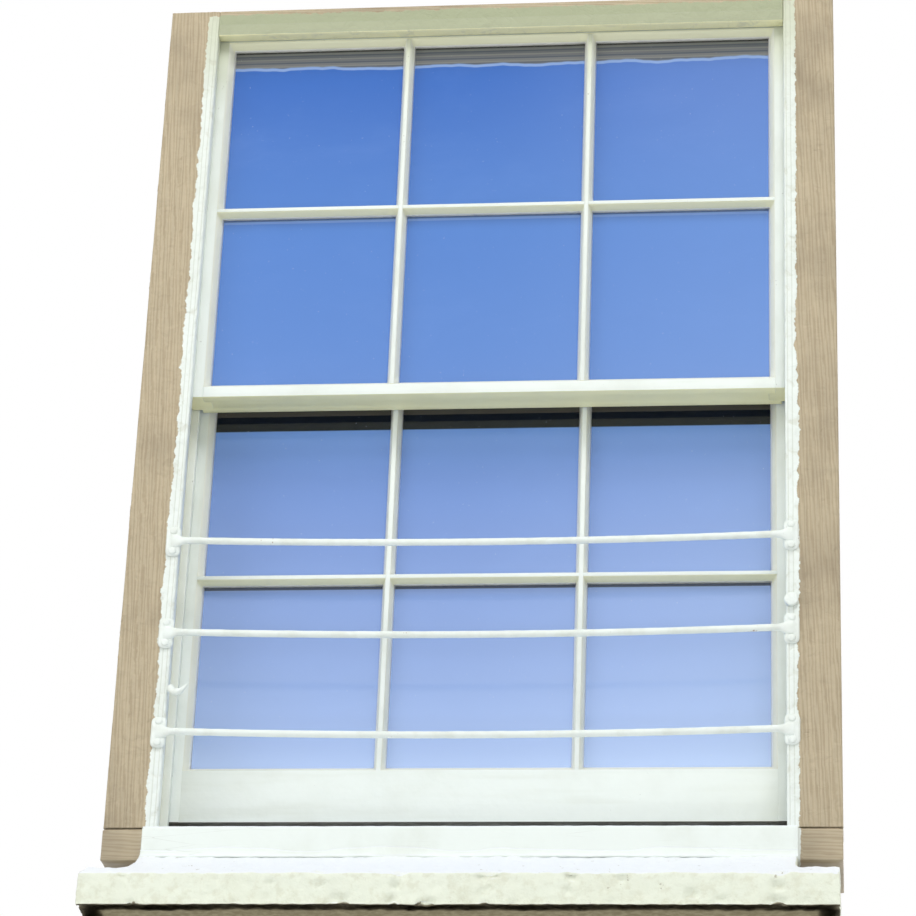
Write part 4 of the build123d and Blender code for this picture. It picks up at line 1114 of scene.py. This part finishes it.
class SASHWINDOW_OT_guard_bars(Undoable, bpy.types.Operator):
    """Round guard bars whose flattened ends are screwed to the linings and thick with paint."""

    bl_idname = "sash_window.guard_bars"
    bl_label = "Guard Bars"

    def execute(self, context):
        paint = finish("iron_paint", iron_paint_finish, settings()[0])
        profile = ((0.0058, -0.0030), (0.0054, -0.0046), (0.0044, -0.0055))
        profile += ((0.0028, -0.0060), (0.0006, -0.0062))
        for index, name in enumerate(("top", "middle", "bottom")):
            node = "guard_bar_" + name
            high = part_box(node)[1]
            lug_x, height = high.x - LUG[0], high.z - LUG[1]
            meshes = [self.rod(lug_x, height, 60 + index)]
            for sign in (-1, 1):
                meshes.append(self.lug(sign * lug_x, height, 70 + index))
                for rise in (LUG_SCREW_RISE, -LUG_SCREW_RISE):
                    centre = (sign * lug_x, 0, height + rise)
                    meshes.append(lathe("dome", profile, centre, "y", 20))
            put(f"{node}_painted", joined("bar", meshes), paint, "frame", [node])
        return {"FINISHED"}

    def rod(self, lug_x, height, seed):
        """The bar: at share u of half its length it hangs down by the sag times 1 - u^2, and near
        the lugs it turns flat and leans back against them."""
        share = np.sin(np.linspace(-np.pi / 2, np.pi / 2, 240))
        x = share * (lug_x + 0.002)
        near = smooth_step(lug_x - 0.026, lug_x - 0.002, np.abs(x))
        path = grid(x, -0.006 + 0.0028 * near, height - BAR_SAG * (1 - share**2))
        wide, deep = 0.0050 + 0.0060 * near**2, 0.0050 - 0.0012 * near

        def swell(points, angle):
            return 1 + 0.035 * ripple(points, 0.03, seed, 3)[:, None] + 0 * angle

        return tube("bar", path, wide, deep, (0, 0, 1), 20, swell)

    def lug(self, x, height, seed):
        """A flattened end: rings of its outline, each smaller and further out."""
        shape = outline(rectangle(-LUG, LUG), 0.0088, 0.0022)
        steps = ((1.0, 0.0005), (0.99, -0.0008), (0.93, -0.0022), (0.84, -0.0034))
        steps += ((0.68, -0.0043), (0.4, -0.0048), (0.05, -0.0050))
        rings = []
        for size, depth in steps:
            ring = shape * np.array([size, 1 - (1 - size) * 0.8])
            rings.append(grid(x + ring[:, 0], depth, height + ring[:, 1]))

        def dents(points):
            return 0.0012 * hollow(points, 0.02, seed) * smooth_step(-0.001, -0.003, points[:, 1])

        return worn(outward(loft_mesh("lug", np.array(rings))), dents)


class SASHWINDOW_OT_lining_fittings(Undoable, bpy.types.Operator):
    """The domed cap on the right lining and the bent peg on the left one."""

    bl_idname = "sash_window.lining_fittings"
    bl_label = "Cap and Peg"

    def execute(self, context):
        paint = finish("iron_paint", iron_paint_finish, settings()[0])
        low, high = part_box("lining_cap")
        centre = ((low.x + high.x) / 2, 0, (low.z + high.z) / 2)
        dome = [(0.0105, 0.0005), (0.0105, -0.0052), (0.0101, -0.0064), (0.0093, -0.0071)]
        dome += [(0.0080, -0.0074), (0.0060, -0.0077), (0.0040, -0.0079), (0.0020, -0.0080)]
        dome += [(0.0003, -0.0080)]
        cap = lathe("cap", dome, centre, "y", 40)
        worn(cap, lambda points: 0.0005 * (1 - ripple(points, 0.009, 81, 3)))
        put("lining_cap_painted", cap, paint, "frame", ["lining_cap"])
        put("lining_peg_painted", self.peg(), paint, "frame", ["lining_peg"])
        return {"FINISHED"}

    def peg(self):
        """A bent peg along (1-t)^2 start + 2t(1-t) bend + t^2 tip, thinner to its round tip."""
        low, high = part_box("lining_peg")
        start = np.array([low.x + 0.015, -0.001, low.z + 0.0150])
        bend = np.array([low.x + 0.026, -0.012, low.z - 0.0065])
        tip = np.array([high.x - 0.0010, low.y + 0.0032, high.z - 0.0095])
        t = np.linspace(0, 1, 40)
        u = t[:, None]
        path = (1 - u) ** 2 * start + 2 * u * (1 - u) * bend + u**2 * tip
        cap = np.sqrt(np.clip(1 - ((t - 0.9) / 0.1).clip(0) ** 2, 0.02, 1))
        size = 0.0053 * (1 - 0.6 * smooth_step(0.5, 1, t)) * cap
        peg = tube("peg", path, size, size, (0, 1, 0.2), 14)
        return inside(peg, (low.x, low.y, low.z), (high.x, 0.001, high.z))


class SASHWINDOW_OT_pulleys(Undoable, bpy.types.Operator):
    """Pulley cases with their screws, and turned grooved wheels."""

    bl_idname = "sash_window.pulleys"
    bl_label = "Pulleys"

    def execute(self, context):
        iron = finish(
            "pulley_iron", cast_iron_finish, rgb(96, 88, 78), rgb(128, 118, 104), 0.5
        )
        eased("pulley_cases", iron, "frame", 0.0004, 1)
        profile = self.profile()
        screws = []
        for sash in SASHES:
            y = CHANNEL[sash]
            for side, sign in SIDES.items():
                centre = (sign * WHEEL_X, y, PULLEY_Z)
                wheel = lathe("wheel", profile, centre, "y", 64, loop=True)
                name, node = f"{sash}_wheel_turned_{side}", f"{sash}_pulley_wheel_{side}"
                put(name, wheel, iron, f"{sash}_wheel_{side}", [node])
                for rise in (PLATE_SCREW_RISE, -PLATE_SCREW_RISE):
                    centre = (sign * PLATE_X, y, PULLEY_Z + rise)
                    turn = 0.4 + rise * 9
                    screws.append(slotted_screw(centre, "x", -sign, 0.0042, 0.0007, turn))
        put("pulley_screws", joined("screws", screws), iron, "frame")
        return {"FINISHED"}

    def profile(self):
        """A wheel's section: one half from the bore over the face to the middle of the cord's
        groove, and then the same in a mirror."""
        half = [(0.0032, -WHEEL_HALF), (0.0072, -WHEEL_HALF), (0.0080, -0.0042), (0.0086, -0.0028)]
        half += [(0.0150, -0.0028), (0.0166, -0.0040), (0.0176, -WHEEL_HALF)]
        half += [(WHEEL_R - 0.0001, -WHEEL_HALF), (WHEEL_R, -WHEEL_HALF + 0.0012)]
        half += [(0.0220, -0.00325), (0.02063, -0.00295), (0.01934, -0.00186), (0.01875, 0.0)]
        return half + [(r, -h) for r, h in half[::-1][1:]]


class SASHWINDOW_OT_weights(Undoable, bpy.types.Operator):
    """Cast iron weights with the knotted cord end in their windows."""

    bl_idname = "sash_window.weights"
    bl_label = "Weights"

    def execute(self, context):
        iron = finish("weight_iron", cast_iron_finish, rgb(52, 48, 44), rgb(88, 80, 72), 0.72)
        cotton = finish("cord_cotton", cord_finish)
        t = np.linspace(0, 2 * np.pi, 90)
        knot = np.stack(
            [np.sin(t) + 2 * np.sin(2 * t), np.sin(3 * t) * 1.1, np.cos(t) - 2 * np.cos(2 * t)], -1
        )
        knot *= np.array([0.0012, 0.0016, 0.0019])
        for sash in SASHES:
            for side, sign in SIDES.items():
                node = f"{sash}_weight_{side}"
                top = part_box(node)[1].z
                eased(node, iron, node, 0.0012, 2)
                centre = [sign * DROP_X, CHANNEL[sash] - 0.0035, top - KNOT_DROP - 0.0086]
                mesh = tube("knot", knot + np.array(centre), 0.0019, 0.0019, (0.3, 1, 0.2), 12)
                put(f"{node}_knot", mesh, cotton, node)
        return {"FINISHED"}


class SASHWINDOW_OT_sash_cords(Undoable, bpy.types.Operator):
    """Plaited cords: a run to the sash, a bend over the wheel and a run to the weight."""

    bl_idname = "sash_window.sash_cords"
    bl_label = "Sash Cords"

    def execute(self, context):
        nail = finish("nail_steel", bright_finish, rgb(120, 116, 110), rgb(165, 160, 152), 0.4)
        head = ((0.0028, 0.0), (0.0030, 0.0004), (0.0022, 0.0009), (0.0003, 0.0010))
        turn = np.linspace(np.pi, 0, 60)
        nails = {sash: [] for sash in SASHES}
        for sash in SASHES:
            y = CHANNEL[sash]
            for side, sign in SIDES.items():
                node = f"{sash}_cord_{side}"
                weight = f"{sash}_weight_{side}"
                sash_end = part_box(f"{sash}_sash_stile_{side}")[1].z - CORD_END_DROP
                knot_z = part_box(weight)[1].z - KNOT_DROP
                near, mid, far = sign * CORD_X, sign * WHEEL_X, sign * DROP_X

                piece = self.plait(f"{node}_to_sash", self.run(near, y, sash_end, PULLEY_Z))
                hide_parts(node)
                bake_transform(piece)

                x = mid + sign * CORD_LINE_R * np.cos(turn)
                z = PULLEY_Z + CORD_LINE_R * np.sin(turn)
                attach(self.plait(f"{node}_over_wheel", grid(x, y, z)), "frame")

                piece = self.plait(f"{node}_to_weight", self.run(far, y, PULLEY_Z, knot_z))
                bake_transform(piece)

                for rise in (0.012, 0.045, 0.080):
                    profile = [(r, sign * h) for r, h in head]
                    centre = (sign * (CORD_X + 0.0029), y, sash_end + rise)
                    nails[sash].append(lathe("nail", profile, centre, "x", 14))
        for sash in SASHES:
            mesh = joined("nails", nails[sash])
            put(f"{sash}_cord_nails", mesh, nail, f"{sash}_sash")
        return {"FINISHED"}

    def run(self, x, y, start, end):
        """Points of an upright run."""
        return grid(x, y, np.linspace(start, end, max(40, int(abs(end - start) / CORD_STEP))))

    def plait(self, name, path):
        """A plaited tube of radius R (0.93 + 0.07 max(cos(n a / 2 + k s), cos(n a / 2 - k s))),
        with angle a, length s, n strands and k = 2 pi / plait length."""
        sizes = settings()[2]
        step = np.linalg.norm(np.diff(path, axis=0), axis=1)
        along = np.concatenate([[0], np.cumsum(step)])

        def swell(_, angle):
            half = sizes.strands / 2 * angle[None, :]
            turn = 2 * np.pi * along[:, None] / sizes.plait
            return 0.93 + 0.07 * np.maximum(np.cos(half + turn), np.cos(half - turn))

        mesh = tube(name, path, CORD_R, CORD_R, (0, 1, 0), 24, swell)
        mesh.shade_smooth()
        mesh.materials.append(finish("cord_cotton", cord_finish))
        piece = bpy.data.objects.new(name, mesh)
        bpy.context.scene.collection.objects.link(piece)
        return piece


class SASHWINDOW_OT_fastener(Undoable, bpy.types.Operator):
    """Brass fastener: base and pin on the lower sash, arm with a knob, keeper on the upper sash."""

    bl_idname = "sash_window.fastener"
    bl_label = "Fastener"

    def execute(self, context):
        low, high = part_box("fastener_base")
        y, z = (low.y + high.y) / 2, low.z
        plate = self.slab(outline(rectangle(low, high), 0.0125, 0.0015), (0, y), z, 0.003, 0.0008)
        post = [(0.0079, 0.0028), (0.0079, 0.0052), (0.0072, 0.0066), (0.0058, 0.0070)]
        post += [(0.0030, 0.0070), (0.0030, 0.0116), (0.0054, 0.0117), (0.0055, 0.0126)]
        post += [(0.0042, 0.0134), (0.0008, 0.0136)]
        meshes = [plate, lathe("post", post, (0, y, z), "z", 40)]
        for sign in (-1, 1):
            centre = (sign * 0.0195, y, z + 0.003)
            meshes.append(slotted_screw(centre, "z", 1, 0.0038, 0.0007, 0.7 * sign))
        mesh = joined("base", meshes)
        put("fastener_base_turned", mesh, brass(), "lower_sash", ["fastener_base"])

        put("fastener_arm_shaped", self.arm(y), brass(), "fastener_arm", ["fastener_arm"])

        eased("fastener_keeper", brass(), "upper_sash", 0.0005, 2)
        low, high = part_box("fastener_keeper")
        screws = []
        for sign in (-1, 1):
            centre = (sign * 0.0165, high.y - 0.010, low.z + 0.0025)
            screws.append(slotted_screw(centre, "z", 1, 0.0034, 0.0006, 0.5 * sign))
        put("keeper_screws", joined("screws", screws), brass(), "upper_sash")
        return {"FINISHED"}

    def arm(self, y):
        """The arm, waisted on both sides of its bore, and its turned knob."""
        low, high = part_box("fastener_arm")
        edge = [(low.x, 0.0042), (-0.012, 0.0056), (0.0, 0.0080), (0.012, 0.0052), (high.x, 0.0058)]
        corners = [(x, y - h) for x, h in edge] + [(x, y + h) for x, h in edge[::-1]]
        radii = [0.0038, 0.004, 0.0065, 0.004, 0.0050]
        shape = outline(corners, radii + radii[::-1], 0.0011)
        plate = self.slab(shape, (0, y), low.z, 0.004, 0.0009, bore=0.00315)
        knob = [(0.0044, 0.0036), (0.0040, 0.0052), (0.0060, 0.0070), (0.0069, 0.0090)]
        knob += [(0.0064, 0.0110), (0.0044, 0.0119), (0.0006, 0.0120)]
        return joined("arm", [plate, lathe("knob", knob, (high.x - 0.007, y, low.z), "z", 40)])

    def slab(self, shape, middle, foot, thick, ease, bore=0.0):
        """A plate with eased edges: rings of its outline, each drawn in by a share of the ease.
        A bore is a ring round the middle, on the same rays as the outline's points."""
        centre = np.array(middle)
        ray = shape - centre
        reach = np.abs(ray).max(0)
        steps = ((0.6, 0), (0, 0.6 * ease), (0, thick - ease), (0.35, thick - 0.3 * ease))
        rings = []
        for inset, level in steps + ((1.0, thick),):
            ring = centre + ray * (1 - inset * ease / reach)
            rings.append(grid(*ring.T, foot + level))
        if bore:
            hole = centre + bore * ray / np.linalg.norm(ray, axis=1)[:, None]
            rings = [grid(*hole.T, foot), *rings, grid(*hole.T, foot + thick)]
        return outward(loft_mesh("slab", np.array(rings), loop=bool(bore)))


class SASHWINDOW_OT_lifts(Undoable, bpy.types.Operator):
    """Brass hook lifts on the bottom rail."""

    bl_idname = "sash_window.lifts"
    bl_label = "Sash Lifts"

    def execute(self, context):
        eased("sash_lifts", brass(), "lower_sash", 0.0007, 2)
        low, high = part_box("sash_lifts")
        screws = []
        for x in (-LIFT_X, LIFT_X):
            for z, turn in ((high.z - 0.0065, 40 * 0.0065), (low.z + 0.0055, -40 * 0.0055)):
                centre = (x, low.y + 0.0025, z)
                screws.append(slotted_screw(centre, "y", 1, 0.0032, 0.0006, turn))
        put("lift_screws", joined("screws", screws), brass(), "lower_sash")
        return {"FINISHED"}


class SASHWINDOW_OT_stage(Undoable, bpy.types.Operator):
    """Pale floor round the sill, soft lamps, plain surroundings and the camera."""

    bl_idname = "sash_window.stage"
    bl_label = "Stage"

    def execute(self, context):
        scene = context.scene
        scene.view_settings.view_transform = "Standard"
        self.floor()
        self.surroundings(scene)
        self.lamp("lamp_high_front", (1.2, -4.6, 6.6), (0, 0, 0.8), 3.2, 290)
        self.lamp("lamp_left", (-4.2, -3.0, 2.4), (0, 0, 0.7), 2.6, 56)
        self.lamp("lamp_room", (1.0, 4.5, 3.0), (0, 0.1, 0.8), 3.0, 95)
        camera = bpy.data.cameras.new("photo_camera")
        camera.sensor_width = 36
        camera.lens = 135.306
        camera.clip_start, camera.clip_end = 0.05, 200
        view = bpy.data.objects.new("photo_camera", camera)
        scene.collection.objects.link(view)
        place = (0.5254, -4.4579, -1.4262)
        view.matrix_world = Matrix.Translation(place) @ self.turned(0.1251, 0.4462, 0.0404)
        scene.camera = view
        return {"FINISHED"}

    def turned(self, yaw, pitch, roll):
        """The camera's axes: it looks along +Y, turned left by yaw, up by pitch, then rolled."""
        level = math.cos(pitch)
        ahead = Vector((-math.sin(yaw) * level, math.cos(yaw) * level, math.sin(pitch)))
        across = Vector((math.cos(yaw), math.sin(yaw), 0))
        up = across.cross(ahead)
        right = across * math.cos(roll) + up * math.sin(roll)
        top = -across * math.sin(roll) + up * math.cos(roll)
        return Matrix((right, top, -ahead)).transposed().to_4x4()

    def floor(self):
        """A wide sheet with an opening under the sill; from below it lets everything through."""
        low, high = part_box("stone_sill")
        lap, wide = 0.03, 9.0
        inner = rectangle((low.x + lap, low.y + lap), (high.x - lap, high.y - lap))
        corners = np.array(rectangle((-wide, -wide), (wide, wide)) + inner)
        faces = [(i, (i + 1) % 4, 4 + (i + 1) % 4, 4 + i) for i in range(4)]
        mesh = bpy.data.meshes.new("floor")
        mesh.from_pydata(grid(*corners.T, -0.0004).tolist(), [], faces)
        mesh.update()
        f = Finish("floor_paint")
        matt = f.add("BsdfDiffuse", {"Color": (0.86, 0.86, 0.86)})
        clear = f.add("BsdfTransparent")
        white = f.add("Emission", {"Color": (1.0, 1.0, 1.0), "Strength": 1.0})
        reach = f.add("VectorMath", {0: f.place}, operation="LENGTH").outputs["Value"]
        far = f.times(f.span(reach, 0.9, 2.4), f.add("LightPath").outputs["Is Camera Ray"])
        top = f.add("MixShader", {0: far, 1: matt.outputs[0], 2: white.outputs[0]})
        below = f.add("NewGeometry").outputs["Backfacing"]
        links = {0: below, 1: top.outputs[0], 2: clear.outputs[0]}
        mesh.materials.append(f.show(f.add("MixShader", links)))
        floor = bpy.data.objects.new("floor", mesh)
        bpy.context.scene.collection.objects.link(floor)

    def surroundings(self, scene):
        """White to the camera, to mirrors and through glass; a soft sky, bluer overhead, for the
        light."""
        world = bpy.data.worlds.new("surroundings")
        scene.world = world
        world.use_nodes = True
        n = Nodes(world.node_tree)
        up = n.add("SeparateXYZ", {0: n.add("TexCoord").outputs["Generated"]}).outputs["Z"]
        sky = n.mix(n.span(up, -1.0, 1.0, smooth=False), (1.0, 0.97, 0.74), (0.90, 0.94, 1.0))
        light = n.add("Background", {"Color": sky, "Strength": 0.60})
        seen = n.add("Background", {"Color": (1, 1, 1), "Strength": 1.0})
        ray = n.add("LightPath").outputs
        plain = n.larger(ray["Is Camera Ray"], ray["Is Glossy Ray"])
        plain = n.larger(plain, ray["Is Transmission Ray"])
        both = n.add("MixShader", {0: plain, 1: light.outputs[0], 2: seen.outputs[0]})
        n.add("OutputWorld", {"Surface": both.outputs[0]})

    def lamp(self, name, place, aim, size, power):
        data = bpy.data.lights.new(name, "AREA")
        data.size = size
        data.energy = power
        lamp = bpy.data.objects.new(name, data)
        bpy.context.scene.collection.objects.link(lamp)
        lamp.location = place
        lamp.visible_glossy = name != "lamp_high_front"
        lamp.rotation_euler = (Vector(aim) - Vector(place)).to_track_quat("-Z", "Y").to_euler()


OPERATORS = (
    SASHWINDOW_OT_stone_sill,
    SASHWINDOW_OT_timber_sill,
    SASHWINDOW_OT_outer_linings,
    SASHWINDOW_OT_box_frame,
    SASHWINDOW_OT_beads,
    SASHWINDOW_OT_sashes,
    SASHWINDOW_OT_panes,
    SASHWINDOW_OT_putty,
    SASHWINDOW_OT_guard_bars,
    SASHWINDOW_OT_lining_fittings,
    SASHWINDOW_OT_pulleys,
    SASHWINDOW_OT_weights,
    SASHWINDOW_OT_sash_cords,
    SASHWINDOW_OT_fastener,
    SASHWINDOW_OT_lifts,
    SASHWINDOW_OT_stage,
)


class SASHWINDOW_PT_pieces(bpy.types.Panel):
    """Lists the colours, the sizes and the pieces."""

    bl_idname = "SASHWINDOW_PT_pieces"
    bl_label = "Sash Window"
    bl_space_type = "VIEW_3D"
    bl_region_type = "UI"
    bl_category = "Sash Window"

    def draw(self, context):
        layout = self.layout
        for group in settings():
            box = layout.box()
            for name in group.__annotations__:
                box.prop(group, name)
        for piece in OPERATORS:
            layout.operator(piece.bl_idname)


CLASSES = (PaintColours, WearSizes, CordSizes, *OPERATORS, SASHWINDOW_PT_pieces)


def register():
    for kind in CLASSES:
        bpy.utils.register_class(kind)
    bpy.types.Scene.sash_paint = PointerProperty(type=PaintColours)
    bpy.types.Scene.sash_wear = PointerProperty(type=WearSizes)
    bpy.types.Scene.sash_cord = PointerProperty(type=CordSizes)


def unregister():
    del bpy.types.Scene.sash_paint
    del bpy.types.Scene.sash_wear
    del bpy.types.Scene.sash_cord
    for kind in reversed(CLASSES):
        bpy.utils.unregister_class(kind)


def main():
    register()
    for piece in OPERATORS:
        group, name = piece.bl_idname.split(".")
        getattr(getattr(bpy.ops, group), name)()


if __name__ == "__main__":
    main()
